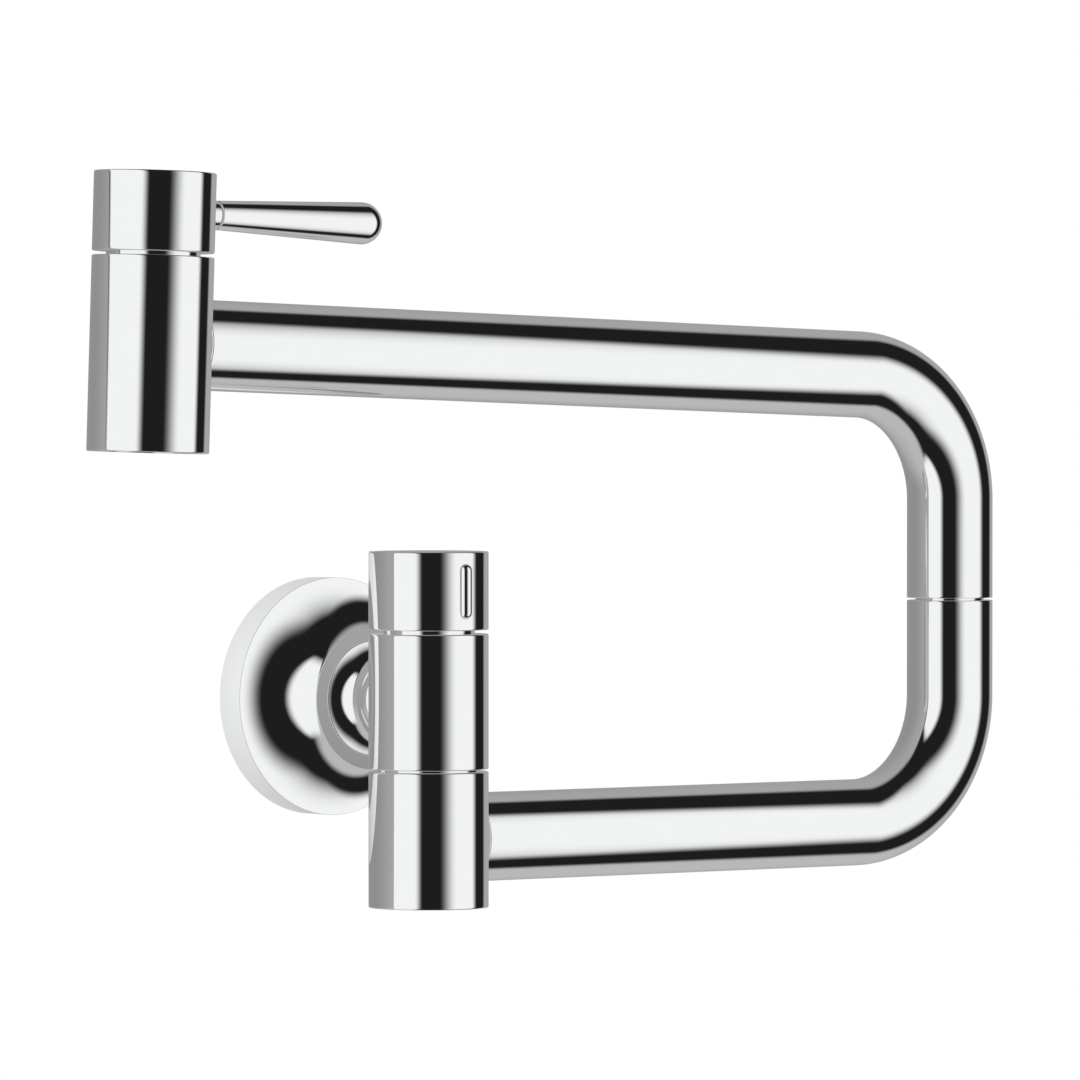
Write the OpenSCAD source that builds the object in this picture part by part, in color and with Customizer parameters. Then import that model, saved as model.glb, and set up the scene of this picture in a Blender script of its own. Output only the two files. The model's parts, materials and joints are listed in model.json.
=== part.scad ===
// Wall-mounted pot filler with a double-jointed swing spout.
// The column carries the shut-off knob, the valve body and the lower swivel.
// The lower arm runs along the wall and turns up to the elbow swivel, and the
// upper arm runs back above it to the outlet head with its own lever.
// Frame: origin on the inlet axis at the wall face, X along the lower arm,
// Y into the wall, Z up.

/* [Column] */
// Outer diameter of the shut-off knob, the valve body and the swivel housing
column_d = 35; // [33:0.5:40]
// Distance from the wall face to the column's axis
standoff = 55; // [52:1:75]
// Height of both knobs
knob_h = 22.8; // [20:0.2:30]
// Open gap under each knob
knob_gap = 1.2; // [0.8:0.1:2]
// Height of the valve body above the inlet axis
body_above = 19.4; // [19:0.2:30]
// Height of the valve body below the inlet axis
body_below = 20; // [19:0.5:30]
// Open gap between the valve body and the swivel housing
swivel_gap = 0.7; // [0.5:0.1:1.5]
// Height of the swivel housing
housing_h = 39.6; // [38:0.2:50]
// Chamfer on the outer edges
edge_c = 0.4; // [0.2:0.1:0.8]

/* [Wall flange] */
// Outer diameter of the wall flange
flange_d = 70; // [60:1:90]
// Straight height of the flange's rim
rim_h = 9.8; // [7:0.2:14]
// Radius of the hollow sweep on the flange's face
sweep_r = 22; // [20:0.5:26]
// Diameter of the flange's front ring
collar_d = 42; // [40:0.5:48]
// Distance from the wall face to the front ring
collar_h = 28.7; // [27:0.1:32]
// Diameter of the hub's flared face inside the front ring
hub_face_d = 33.6; // [31:0.2:36]
// Radius of the fillet from the hub's face to its neck
neck_fillet = 8.2; // [7:0.2:9]
// Diameter of the neck between the hub and the valve body
neck_d = 22; // [20:0.5:23]

/* [Inlet] */
// Thread diameter of the inlet nipple
thread_d = 20.96; // [20:0.02:22]
// Length of the thread that goes into the wall
thread_out = 15; // [10:1:25]
// Length of the thread that the hub holds
thread_in = 13; // [10:1:16]
// Diameter of the waterway through the nipple
nipple_bore = 14; // [10:0.5:16]
// Diameter of the waterway in the valve body
waterway_d = 8; // [6:0.5:9]

/* [Tubes] */
// Outer diameter of both arm tubes
tube_d = 26; // [24:0.5:28]
// Wall thickness of both arm tubes
tube_wall = 1.5; // [1:0.1:2]
// Centreline radius of both bends
bend_r = 38; // [30:1:45]
// Distance from the column's axis to the elbow's axis
lower_reach = 200; // [150:5:300]
// Distance from the elbow's axis to the outlet head's axis, along the arm
upper_reach = 300; // [150:5:400]
// Height of the lower arm above the swivel housing's lower face
arm_rise = 20; // [19:0.2:22]
// Height of each arm's axis from the elbow seam
elbow_half = 66.9; // [62:0.1:90]
// Rise of the upper arm towards the outlet head, in degrees
upper_rise = 2; // [0:0.5:5]
// Open gap at the elbow seam
elbow_gap = 0.75; // [0.5:0.05:1.5]

/* [Swivels] */
// Diameter of the swivel stem's bearing
stem_d = 24; // [23:0.5:25]
// Diameter of the waterway in the swivel stem
stem_bore = 14; // [12:0.5:15]
// Diameter of the elbow spigot's bearing
spigot_d = 17; // [15:0.5:18]
// Diameter of the waterway in the elbow spigot
spigot_bore = 11; // [9:0.5:12]
// Length of the elbow socket inside the lower tube
socket_h = 24; // [20:1:26]
// Outer diameter of the slide ring in the column
slide_d = 30.4; // [29:0.2:31]
// Outer diameter of the slide ring at the elbow
elbow_slide_d = 20.8; // [20:0.2:22]
// Thickness of the retaining rings
clip_t = 1.2; // [1:0.1:1.5]
// Section diameter of the bearings' seal rings, as seated
seal_t = 1.4; // [1.2:0.1:1.6]

/* [Cartridges] */
// Depth of the pocket that holds a cartridge
pocket_h = 13.6; // [13.2:0.2:14.4]
// Outer diameter of a cartridge
cartridge_d = 23.4; // [23:0.2:24]
// Diameter of the ceramic discs
disc_d = 20; // [19:0.2:20.4]
// Thickness of each ceramic disc
disc_t = 2.8; // [2.6:0.1:3]
// Diameter of the ports through the fixed disc
port_d = 5.5; // [4:0.5:6]
// Distance of each port from the cartridge's axis
port_off = 5.5; // [4:0.5:6]
// Diameter of the spindle
spindle_d = 8; // [7:0.5:9]
// Outer diameter of the retaining nut, which shows in the gap under the knob
nut_d = 27; // [26:0.2:27.2]

/* [Outlet head] */
// Diameter of the outlet head and its knob
head_d = 35; // [33:0.5:40]
// Height of the outlet body above the arm's axis
head_above = 24.7; // [23:0.2:30]
// Height of the outlet body below the arm's axis
head_below = 31.2; // [28:0.2:45]
// Diameter of the aerator's face
aerator_d = 22; // [20:0.5:24]
// Height of the aerator
aerator_h = 11; // [9:0.5:12]

/* [Lever] */
// Distance from the head's axis to the lever's tip
lever_reach = 80; // [60:1:120]
// Diameter of the lever beside the knob
lever_root_d = 8.4; // [7:0.2:10]
// Diameter of the lever at its round end
lever_tip_d = 12.2; // [10:0.2:14]
// Distance from the head's axis to the lever's inner end
lever_start = 21.7; // [20:0.1:26]
// Height of the lever's axis above the knob's lower edge
lever_up = 11.4; // [9:0.2:13]

/* [Marker bar] */
// Length of the marker bar on the shut-off knob
marker_l = 16; // [10:1:18]
// Diameter of the marker bar
marker_d = 3.8; // [3:0.2:4.4]
// How far the marker bar stands out of the knob
marker_out = 2; // [1.5:0.1:2.4]

/* [Hidden] */
$fn = 96;

// Clearances: run is a shaft in its bearing, fit is two pieces of one body,
// slip is a loose piece in its pocket and face is between turning flat faces.
run = 0.05;
fit = 0.02;
slip = 0.3;
face = 0.05;
// Overlap of a cutter past the face that it cuts
cut = 1;

chrome = [0.82, 0.83, 0.85];
brass = [0.80, 0.65, 0.35];
steel = [0.66, 0.67, 0.69];
rubber = [0.12, 0.12, 0.13];
ceramic = [0.93, 0.92, 0.88];
polymer = [0.85, 0.85, 0.82];
fitting_grey = [0.35, 0.37, 0.40];

column_r = column_d / 2;
head_r = head_d / 2;
tube_r = tube_d / 2;
tube_in = tube_r - tube_wall;
stem_r = stem_d / 2;
spigot_r = spigot_d / 2;
thread_r = thread_d / 2;
spindle_r = spindle_d / 2;
nut_r = nut_d / 2;
cartridge_r = cartridge_d / 2;
disc_r = disc_d / 2;

// Heights in the column, from the inlet axis
housing_top = -body_below - swivel_gap;
housing_bottom = housing_top - housing_h;
lower_z = housing_bottom + arm_rise;
seam_z = lower_z + elbow_half;
upper_z = seam_z + elbow_half;
lower_end = seam_z - elbow_gap / 2;
upper_start = seam_z + elbow_gap / 2;

// Tangent length of the upper bend, from the arms' corner
upper_bend = 90 - upper_rise;
upper_tangent = bend_r * tan(upper_bend / 2);
bend_slim = 0.02;
bend_lap = 0.2;

// Swivel stem and the pieces on it, from the top
stem_thread_slim = 1;
stem_thread_r = stem_r - stem_thread_slim;
stem_thread_h = 9;
plenum_h = 1;
counter_step = 2;
counter_r = stem_r + counter_step;
counter_h = 5;
shoulder_z = housing_bottom + counter_h;
cap_t = 2.6;
cap_groove = 1.2;
cap_groove_low = 0.8;
cap_key_r = 4;
cap_key_depth = 1.4;
clip_top = shoulder_z - face;
clip_groove = 1.1;
clip_opening = 3;
clip_slip = 0.4;
elbow_clip_slip = 1;
clip_land = 0.8;
stem_end = clip_top - clip_t - clip_land;
stem_neck_depth = 2.5;
stem_neck_r = stem_r - stem_neck_depth;
seal_groove = 1.5;
seal_land = 0.3;
seal_w = seal_t + 2 * seal_land;
stem_seal_gap = 0.2;
stem_seal_top = 4.6;
stem_neck_cover = 1.5;
stem_neck_land = 1.2;
stem_seal_low = lower_z - tube_in - seal_w / 2 - stem_seal_gap;
stem_seal_high = housing_top - stem_seal_top;
stem_neck_top = lower_z + tube_in - stem_neck_cover;
stem_neck_low = stem_seal_low + seal_w / 2 + stem_neck_land;
stem_bore_end = 1;
stem_port_slim = 1;
stem_port_r = stem_bore / 2 - stem_port_slim;
cope_start = 6;
head_tube_wall = 0.6;
head_tube_end = cartridge_r + slip + head_tube_wall;
head_chamber_r = 6;

// Elbow spigot and the pieces on it, from the seam
socket_low = lower_end - socket_h;
elbow_clip_top = socket_low - face;
spigot_end = elbow_clip_top - clip_t - clip_land;
spigot_head_h = 18;
elbow_seal_first = 6;
elbow_seal_second = 14;
elbow_seal_places = [lower_end - elbow_seal_first, lower_end - elbow_seal_second];

// Cartridge stack, from the pocket's floor
gasket_t = 1;
disc_gap = 0.02;
moving_z = gasket_t + disc_t + disc_gap;
moving_slack = 0.2;
moving_r = disc_r - moving_slack;
flange_z = moving_z + disc_t;
spindle_flange_t = 1.5;
spindle_flange_slack = 0.5;
spindle_flange_r = disc_r - spindle_flange_slack;
cavity_r = disc_r + slip;
cavity_head = 0.1;
cavity_top = flange_z + spindle_flange_t + cavity_head;
shoulder_h = 10.8;
cartridge_neck_t = 3;
cartridge_neck_r = spindle_r + cartridge_neck_t;
cartridge_neck_h = 4;
cartridge_top = pocket_h + cartridge_neck_h;
nut_low = shoulder_h + fit;
nut_in_knob = 1.3;
nut_top = pocket_h + knob_gap + nut_in_knob;
nut_seat = 0.8;
nut_pocket = shoulder_h - nut_seat;
pocket_r = cartridge_r + slip;
key_w = 3;
key_l = 14;
key_h = 1;
channel_h = 1.2;
channel_l = 2 * port_off + port_d;
// End of the waterway that feeds a port, a little past the port's far side
port_past = 0.5;
port_side = port_off - port_d / 2 - port_past;
spindle_seal_up = 1;
spindle_seal_z = pocket_h + spindle_seal_up;
spindle_groove = 0.8;
spindle_groove_w = 1.4;
nut_slot_w = 2;
nut_slot_l = 2.5;
nut_slot_t = 0.8;

// Knobs, from the pocket's floor
knob_low = pocket_h + knob_gap;
knob_wall = 3.4;
knob_roof = 3;
knob_hub_r = 7;
knob_hub_gap = 0.6;
knob_hub_low = cartridge_top + knob_hub_gap;
spindle_head = 1;
spindle_top = knob_low + knob_h - knob_roof - spindle_head;
screw_r = 2;
screw_z = knob_low + knob_h / 2;
screw_l = 8;
hex_r = 1.15;
hex_depth = 2.4;
spindle_flat = 0.6;

// Flange and hub, as depths from the wall face along -Y
sweep_steps = 32;
fillet_steps = 16;
ring_edge = 0.3;
collar_t = 5;
undercut = 3.91;
throat_depth = collar_h - collar_t;
// The sweep's arc runs from the rim's edge to the throat behind the front ring
rim_point = [flange_d / 2, rim_h];
throat_point = [collar_d / 2 - undercut, throat_depth];
sweep_half = norm(throat_point - rim_point) / 2;
sweep_way = (throat_point - rim_point) / (2 * sweep_half);
sweep_back = sqrt(pow(sweep_r, 2) - pow(sweep_half, 2));
sweep_centre = (rim_point + throat_point) / 2 + sweep_back * [sweep_way[1], -sweep_way[0]];
// The cavity behind the sweep keeps an even wall
flange_wall = 2.6;
cavity_sweep_r = sweep_r + flange_wall;
cavity_rim = 4;
cavity_edge = flange_d / 2 - cavity_rim;
cavity_land = 6;
cavity_throat = throat_depth - cavity_land;
hub_r = 14.5;
hub_step = 1.5;
flange_bore_r = hub_r + slip;
groove_w = 1.6;
groove_h = 1.2;
groove_in = 2.7;
groove_r = flange_d / 2 - groove_in;
neck_overlap = 1;
neck_end_depth = standoff - sqrt(pow(column_r, 2) - pow(neck_d / 2, 2)) + neck_overlap;
marker_slot = 0.06;
hub_mouth = 3;
hub_thread_slim = 0.1;
hub_thread_r = thread_r - hub_thread_slim;
nipple_waist_depth = 1;
nipple_waist_r = thread_r - nipple_waist_depth;
nipple_seal_slim = 0.6;
nipple_seal_r = thread_r - nipple_seal_slim;
seal_ring_t = 2;
nipple_stop = hub_mouth + thread_in + seal_ring_t;

// Lever and aerator
lever_z = knob_low + lever_up;
lever_sphere_x = lever_reach - lever_tip_d / 2;
neck_r = 3;
neck_collar_r = 4.1;
neck_groove = 0.6;
neck_plug = 6;
neck_inner_gap = 1;
neck_inner = spindle_r + neck_inner_gap;
aerator_seal_t = 1;
aerator_pocket = aerator_h + aerator_seal_t;
aerator_up = 0.2;
aerator_lip = 1;
aerator_step = 2;
aerator_wall = 2;
insert_up = 0.4;
insert_short = 3;
insert_rim = 1.5;
aerator_r = aerator_d / 2;
insert_r = aerator_r - aerator_wall;
mesh_pitch = 2.6;
mesh_hole = 1.4;

module at_column() {
    translate([0, -standoff, 0]) children();
}

module at_elbow() {
    translate([lower_reach, -standoff, 0]) children();
}

module at_head() {
    translate([lower_reach, -standoff, upper_z])
        rotate([0, upper_rise, 0])
            translate([-upper_reach, 0, 0]) children();
}

// Pocket floor of the shut-off cartridge, its inlet port towards the wall
module at_shutoff() {
    at_column() translate([0, 0, body_above - pocket_h]) rotate(90) children();
}

// Pocket floor of the outlet cartridge, its inlet port towards the arm
module at_outlet() {
    at_head() translate([0, 0, head_above - pocket_h]) children();
}

module ring(outer, inner, low, high) {
    difference() {
        translate([0, 0, low]) cylinder(r = outer, h = high - low);
        translate([0, 0, low - cut]) cylinder(r = inner, h = high - low + 2 * cut);
    }
}

module disc(r, low, high) {
    translate([0, 0, low]) cylinder(r = r, h = high - low);
}

// Round bar along X from one place to another
module bar_x(r, from, to) {
    translate([from, 0, 0]) rotate([0, 90, 0]) cylinder(r = r, h = to - from);
}

// Round bar along Y from one place to another
module bar_y(r, from, to) {
    translate([0, from, 0]) rotate([-90, 0, 0]) cylinder(r = r, h = to - from);
}

module chamfered(r, low, high, c) {
    rotate_extrude()
        polygon([[0, low], [r - c, low], [r, low + c], [r, high - c], [r - c, high], [0, high]]);
}

module seal_torus(centre_r, section_r, z) {
    translate([0, 0, z]) rotate_extrude() translate([centre_r, 0]) circle(r = section_r);
}

// Body of revolution about the inlet axis, from points of radius and depth
module turned(points) {
    rotate([90, 0, 0]) rotate_extrude() polygon(points);
}

function arc(centre, r, from, to, steps) = [
    for (i = [0:steps])
        let (a = from + (to - from) * i / steps)
        [centre[0] + r * cos(a), centre[1] + r * sin(a)]
];

// Quarter or near-quarter bend in the XZ plane, round its centre. It is a hair
// slimmer than the straights, which lap over its ends.
module bend(r, from, angle) {
    rotate([90, 0, 0])
        rotate([0, 0, from])
            rotate_extrude(angle = angle) translate([bend_r, 0]) circle(r = r - bend_slim);
}

// Lower arm's path from its start beside the column to the elbow seam
module lower_path(r, start, top) {
    translate([0, -standoff, lower_z]) {
        bar_x(r, start, lower_reach - bend_r + bend_lap);
        translate([lower_reach - bend_r, 0, bend_r]) bend(r, -90, 90);
        translate([lower_reach, 0, bend_r - bend_lap])
            cylinder(r = r, h = top - lower_z - bend_r + bend_lap);
    }
}

// Upper arm's path from the elbow seam to its end in the outlet head
module upper_path(r, bottom, end) {
    bend_z = upper_z - upper_tangent;
    at_elbow() translate([0, 0, bottom]) cylinder(r = r, h = bend_z + bend_lap - bottom);
    at_elbow() translate([-bend_r, 0, bend_z]) bend(r, 0, upper_bend);
    at_head() bar_x(r, end, upper_reach - upper_tangent + bend_lap);
}

module cartridge() {
    difference() {
        union() {
            disc(cartridge_r, 0, shoulder_h);
            disc(cartridge_neck_r, 0, cartridge_top);
        }
        disc(cavity_r, -cut, cavity_top);
        disc(spindle_r + run, 0, cartridge_top + cut);
    }
}

module cartridge_seal() {
    difference() {
        disc(disc_r, 0, gasket_t);
        for (side = [-1, 1])
            translate([side * port_off, 0, 0]) disc(port_d / 2, -cut, gasket_t + cut);
    }
}

module fixed_disc() {
    difference() {
        disc(disc_r, gasket_t, gasket_t + disc_t);
        for (side = [-1, 1])
            translate([side * port_off, 0, 0]) disc(port_d / 2, 0, gasket_t + disc_t + cut);
    }
}

// Closed at rest: the channel that joins the ports lies across them
module moving_disc() {
    difference() {
        disc(moving_r, moving_z, flange_z);
        translate([-port_d / 2, -channel_l / 2, moving_z - cut])
            cube([port_d, channel_l, channel_h + cut]);
        translate([-key_l / 2 - fit, -key_w / 2 - fit, flange_z - key_h - fit])
            cube([key_l + 2 * fit, key_w + 2 * fit, key_h + cut]);
    }
}

// Spindle with its drive key and a flat for the knob's screw
module spindle(screw_side) {
    difference() {
        union() {
            disc(spindle_flange_r, flange_z, flange_z + spindle_flange_t);
            disc(spindle_r, flange_z, spindle_top);
            translate([-key_l / 2, -key_w / 2, flange_z - key_h]) cube([key_l, key_w, key_h + cut]);
        }
        ring(spindle_r + cut, spindle_r - spindle_groove,
             spindle_seal_z - spindle_groove_w / 2, spindle_seal_z + spindle_groove_w / 2);
        rotate(screw_side)
            translate([spindle_r - spindle_flat, -spindle_r, screw_z - screw_r - cut])
                cube([2 * cut, 2 * spindle_r, 2 * (screw_r + cut)]);
    }
}

module spindle_seal() {
    seal_torus(spindle_r - (spindle_groove - fit) / 2, spindle_groove / 2 - fit, spindle_seal_z);
}

module retaining_nut() {
    difference() {
        ring(nut_r, cartridge_neck_r + slip, nut_low, nut_top);
        for (side = [0:90:270])
            rotate(side)
                translate([nut_r - nut_slot_l, -nut_slot_w / 2, nut_top - nut_slot_t])
                    cube([nut_slot_l + cut, nut_slot_w, nut_slot_t + cut]);
    }
}

// Hollow knob with a hub for the spindle and a hole for the clamp screw
module knob_shell(r, screw_side) {
    difference() {
        chamfered(r, knob_low, knob_low + knob_h, edge_c);
        ring(r - knob_wall, knob_hub_r, knob_low - cut, knob_low + knob_h - knob_roof);
        disc(knob_hub_r + fit, knob_low - cut, knob_hub_low);
        disc(spindle_r + fit, knob_low, spindle_top + fit);
        rotate(screw_side) translate([0, 0, screw_z]) bar_x(screw_r + fit, 0, r + cut);
    }
}

module knob_screw(screw_side) {
    rotate(screw_side)
        translate([0, 0, screw_z])
            difference() {
                bar_x(screw_r, spindle_r - spindle_flat + fit, spindle_r - spindle_flat + screw_l);
                translate([spindle_r - spindle_flat + screw_l - hex_depth, 0, 0])
                    rotate([0, 90, 0]) cylinder(r = hex_r, h = hex_depth + cut, $fn = 6);
            }
}

// Pocket for a cartridge and its nut, and the two ports in its floor
module cartridge_pocket(port_in_depth, port_out_depth) {
    disc(pocket_r, 0, pocket_h + cut);
    disc(nut_r + run, nut_pocket, pocket_h + cut);
    translate([port_off, 0, 0]) disc(port_d / 2, -port_in_depth, cut);
    translate([-port_off, 0, 0]) disc(port_d / 2, -port_out_depth, cut);
}

module wall_flange() {
    rim_way = rim_point - sweep_centre;
    throat_way = throat_point - sweep_centre;
    cavity_start = acos((cavity_edge - sweep_centre[0]) / cavity_sweep_r);
    cavity_stop = 180 - asin((sweep_centre[1] - cavity_throat) / cavity_sweep_r);
    color(chrome)
        difference() {
            turned(concat(
                [[0, 0], [flange_d / 2, 0]],
                arc(sweep_centre, sweep_r, atan2(rim_way[1], rim_way[0]), atan2(throat_way[1], throat_way[0]), sweep_steps),
                [[collar_d / 2, collar_h - ring_edge], [collar_d / 2, collar_h], [0, collar_h]]
            ));
            turned(concat(
                [[0, -cut], [cavity_edge, -cut]],
                arc(sweep_centre, cavity_sweep_r, -cavity_start, -cavity_stop, fillet_steps),
                [[flange_bore_r, cavity_throat], [flange_bore_r, collar_h - hub_step],
                 [hub_face_d / 2 + run, collar_h - hub_step], [hub_face_d / 2 + run, collar_h + cut],
                 [0, collar_h + cut]]
            ));
            turned([
                [groove_r, -cut], [groove_r + groove_w, -cut],
                [groove_r + groove_w, groove_h], [groove_r, groove_h]
            ]);
        }
}

module flange_seal() {
    color(rubber)
        turned([
            [groove_r + fit, 0], [groove_r + groove_w - fit, 0],
            [groove_r + groove_w - fit, groove_h - fit], [groove_r + fit, groove_h - fit]
        ]);
}

module inlet_nipple() {
    color(brass)
        difference() {
            union() {
                bar_y(thread_r, 0, thread_out);
                bar_y(nipple_waist_r, -hub_mouth, 0);
                bar_y(hub_thread_r, -hub_mouth - thread_in, -hub_mouth);
            }
            bar_y(nipple_bore / 2, -nipple_stop, thread_out + cut);
        }
}

module nipple_seal() {
    color(rubber)
        rotate([90, 0, 0])
            ring(nipple_seal_r, nipple_bore / 2, hub_mouth + thread_in + fit, nipple_stop - fit);
}

module valve_body() {
    hub_back = collar_h - hub_step;
    fillet_x = neck_d / 2 + neck_fillet;
    fillet_start = acos((fillet_x - hub_face_d / 2) / neck_fillet);
    fillet_centre = [fillet_x, collar_h + neck_fillet * sin(fillet_start)];
    color(chrome)
        difference() {
            union() {
                at_column() chamfered(column_r, -body_below, body_above, edge_c);
                turned(concat(
                    [[0, hub_mouth], [hub_r, hub_mouth], [hub_r, hub_back],
                     [hub_face_d / 2, hub_back]],
                    arc(fillet_centre, neck_fillet, 180 + fillet_start, 180, fillet_steps),
                    [[neck_d / 2, neck_end_depth], [0, neck_end_depth]]
                ));
            }
            bar_y(hub_thread_r + fit, -nipple_stop, 0);
            bar_y(waterway_d / 2, -standoff + port_side, -hub_mouth);
            at_shutoff() cartridge_pocket(body_above - pocket_h, body_above - pocket_h + body_below - stem_thread_h);
            at_column() disc(stem_thread_r + fit, -body_below - cut, -body_below + stem_thread_h + plenum_h);
        }
}

module shutoff_cartridge() {
    color(polymer) at_shutoff() cartridge();
}

module shutoff_cartridge_seal() {
    color(rubber) at_shutoff() cartridge_seal();
}

module shutoff_fixed_disc() {
    color(ceramic) at_shutoff() fixed_disc();
}

module shutoff_moving_disc() {
    color(ceramic) at_shutoff() moving_disc();
}

module shutoff_retaining_nut() {
    color(chrome) at_shutoff() retaining_nut();
}

module shutoff_spindle_seal() {
    color(rubber) at_shutoff() spindle_seal();
}

module shutoff_spindle() {
    color(brass) at_shutoff() spindle(0);
}

module shutoff_knob_screw() {
    color(steel) at_shutoff() knob_screw(0);
}

// Round-ended bar, sunk upright in the knob's front
module marker_bar(r, half) {
    translate([-column_r + marker_d / 2 - marker_out, 0, knob_low + knob_h / 2]) {
        translate([0, 0, -half]) cylinder(r = r, h = 2 * half);
        for (side = [-1, 1])
            translate([0, 0, side * half]) sphere(r = r);
    }
}

module shutoff_knob() {
    half = (marker_l - marker_d) / 2;
    color(chrome)
        at_shutoff()
            difference() {
                knob_shell(column_r, 0);
                marker_bar(marker_d / 2 + marker_slot, half);
            }
}

module shutoff_marker() {
    color(chrome) at_shutoff() marker_bar(marker_d / 2, (marker_l - marker_d) / 2);
}

module swivel_stem() {
    color(brass)
        at_column()
            difference() {
                union() {
                    disc(stem_thread_r, -body_below - cut, -body_below + stem_thread_h);
                    disc(stem_r, stem_end, -body_below);
                }
                disc(stem_bore / 2, stem_neck_low - stem_bore_end, cut);
                ring(stem_r + cut, stem_neck_r, stem_neck_low, stem_neck_top);
                for (turn = [0, 90])
                    rotate(turn) translate([0, 0, lower_z]) bar_x(stem_port_r, -stem_r, stem_r);
                for (z = [stem_seal_low, stem_seal_high])
                    ring(stem_r + cut, stem_r - seal_groove, z - seal_w / 2, z + seal_w / 2);
                ring(stem_r + cut, stem_r - clip_groove, clip_top - clip_t - fit, clip_top + fit);
            }
}

module swivel_seals() {
    color(rubber)
        at_column()
            for (z = [stem_seal_low, stem_seal_high])
                seal_torus(stem_r - seal_t / 2, seal_t / 2 - fit, z);
}

module swivel_slide_ring() {
    color(chrome) at_column() ring(slide_d / 2, stem_r + fit, housing_top + face, -body_below);
}

// Open spring ring in the groove of a bearing
module clip(shaft_r, groove, outer, top) {
    difference() {
        ring(outer, shaft_r - groove + fit, top - clip_t, top);
        translate([0, -clip_opening / 2, top - clip_t - cut])
            cube([outer + cut, clip_opening, clip_t + 2 * cut]);
    }
}

module swivel_clip() {
    color(steel) at_column() clip(stem_r, clip_groove, counter_r - clip_slip, clip_top);
}

module swivel_housing() {
    color(chrome)
        difference() {
            at_column() chamfered(column_r, housing_bottom, housing_top, edge_c);
            at_column() disc(stem_r + run, housing_bottom - cut, housing_top + cut);
            at_column() disc(counter_r, housing_bottom - cut, shoulder_z);
            translate([0, -standoff, lower_z]) bar_x(tube_r + fit, cope_start, column_r + cut);
        }
}

module housing_cap() {
    cap_r = counter_r - fit;
    color(chrome)
        at_column()
            difference() {
                disc(cap_r, housing_bottom, housing_bottom + cap_t);
                ring(cap_r + cut, cap_r - cap_groove, housing_bottom + cap_groove_low,
                     housing_bottom + cap_groove_low + cap_groove);
                translate([0, 0, housing_bottom - cut]) cylinder(r = cap_key_r, h = cap_key_depth + cut, $fn = 6);
            }
}

module housing_cap_seal() {
    color(rubber) at_column() seal_torus(counter_r - cap_groove / 2 - fit, cap_groove / 2 - fit,
                                        housing_bottom + cap_groove_low + cap_groove / 2);
}

module lower_tube() {
    color(chrome)
        difference() {
            lower_path(tube_r, cope_start, lower_end);
            lower_path(tube_in, cope_start - cut, lower_end + cut);
            at_column() disc(stem_r + slip, lower_z - tube_d, lower_z + tube_d);
        }
}

module elbow_socket() {
    color(brass) at_elbow() ring(tube_in - fit, spigot_r + run, socket_low, lower_end);
}

module elbow_slide_ring() {
    color(chrome) at_elbow() ring(elbow_slide_d / 2, spigot_r + slip, lower_end, upper_start - face);
}

module elbow_spigot() {
    color(brass)
        at_elbow()
            difference() {
                union() {
                    disc(tube_in - fit, upper_start, upper_start + spigot_head_h);
                    disc(spigot_r, spigot_end, upper_start + cut);
                }
                disc(spigot_bore / 2, spigot_end - cut, upper_start + spigot_head_h + cut);
                for (z = elbow_seal_places)
                    ring(spigot_r + cut, spigot_r - seal_groove, z - seal_w / 2, z + seal_w / 2);
                ring(spigot_r + cut, spigot_r - clip_groove, elbow_clip_top - clip_t - fit, elbow_clip_top + fit);
            }
}

module elbow_seals() {
    color(rubber)
        at_elbow()
            for (z = elbow_seal_places)
                seal_torus(spigot_r - seal_t / 2, seal_t / 2 - fit, z);
}

module elbow_clip() {
    color(steel) at_elbow() clip(spigot_r, clip_groove, tube_in - elbow_clip_slip, elbow_clip_top);
}

module upper_tube() {
    color(chrome)
        difference() {
            upper_path(tube_r, upper_start, head_tube_end + fit);
            upper_path(tube_in, upper_start - cut, head_tube_end - cut);
        }
}

module outlet_body() {
    floor_z = head_above - pocket_h;
    color(chrome)
        difference() {
            at_head() chamfered(head_r, -head_below, head_above, edge_c);
            at_head() bar_x(tube_r + fit, head_tube_end, head_r + cut);
            at_head() bar_x(head_chamber_r, port_side, head_r);
            at_outlet() cartridge_pocket(floor_z, floor_z + head_below - aerator_pocket + cut);
            at_head() disc(aerator_r + aerator_lip + fit, -head_below - cut, -head_below + aerator_pocket);
        }
}

module outlet_cartridge() {
    color(polymer) at_outlet() cartridge();
}

module outlet_cartridge_seal() {
    color(rubber) at_outlet() cartridge_seal();
}

module outlet_fixed_disc() {
    color(ceramic) at_outlet() fixed_disc();
}

module outlet_moving_disc() {
    color(ceramic) at_outlet() moving_disc();
}

module outlet_retaining_nut() {
    color(chrome) at_outlet() retaining_nut();
}

module outlet_spindle_seal() {
    color(rubber) at_outlet() spindle_seal();
}

module outlet_spindle() {
    color(brass) at_outlet() spindle(90);
}

module outlet_knob_screw() {
    color(steel) at_outlet() knob_screw(90);
}

module outlet_knob() {
    color(chrome)
        at_outlet()
            difference() {
                knob_shell(head_r, 90);
                translate([0, 0, lever_z]) bar_x(neck_r + fit, neck_inner, head_r + cut);
            }
}

module lever_neck() {
    color(chrome)
        at_outlet()
            translate([0, 0, lever_z]) {
                bar_x(neck_r, neck_inner + fit, lever_start + neck_plug);
                difference() {
                    bar_x(neck_collar_r, neck_inner + fit, lever_start - neck_groove);
                    disc(head_r + fit, -neck_collar_r - cut, neck_collar_r + cut);
                }
            }
}

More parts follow.
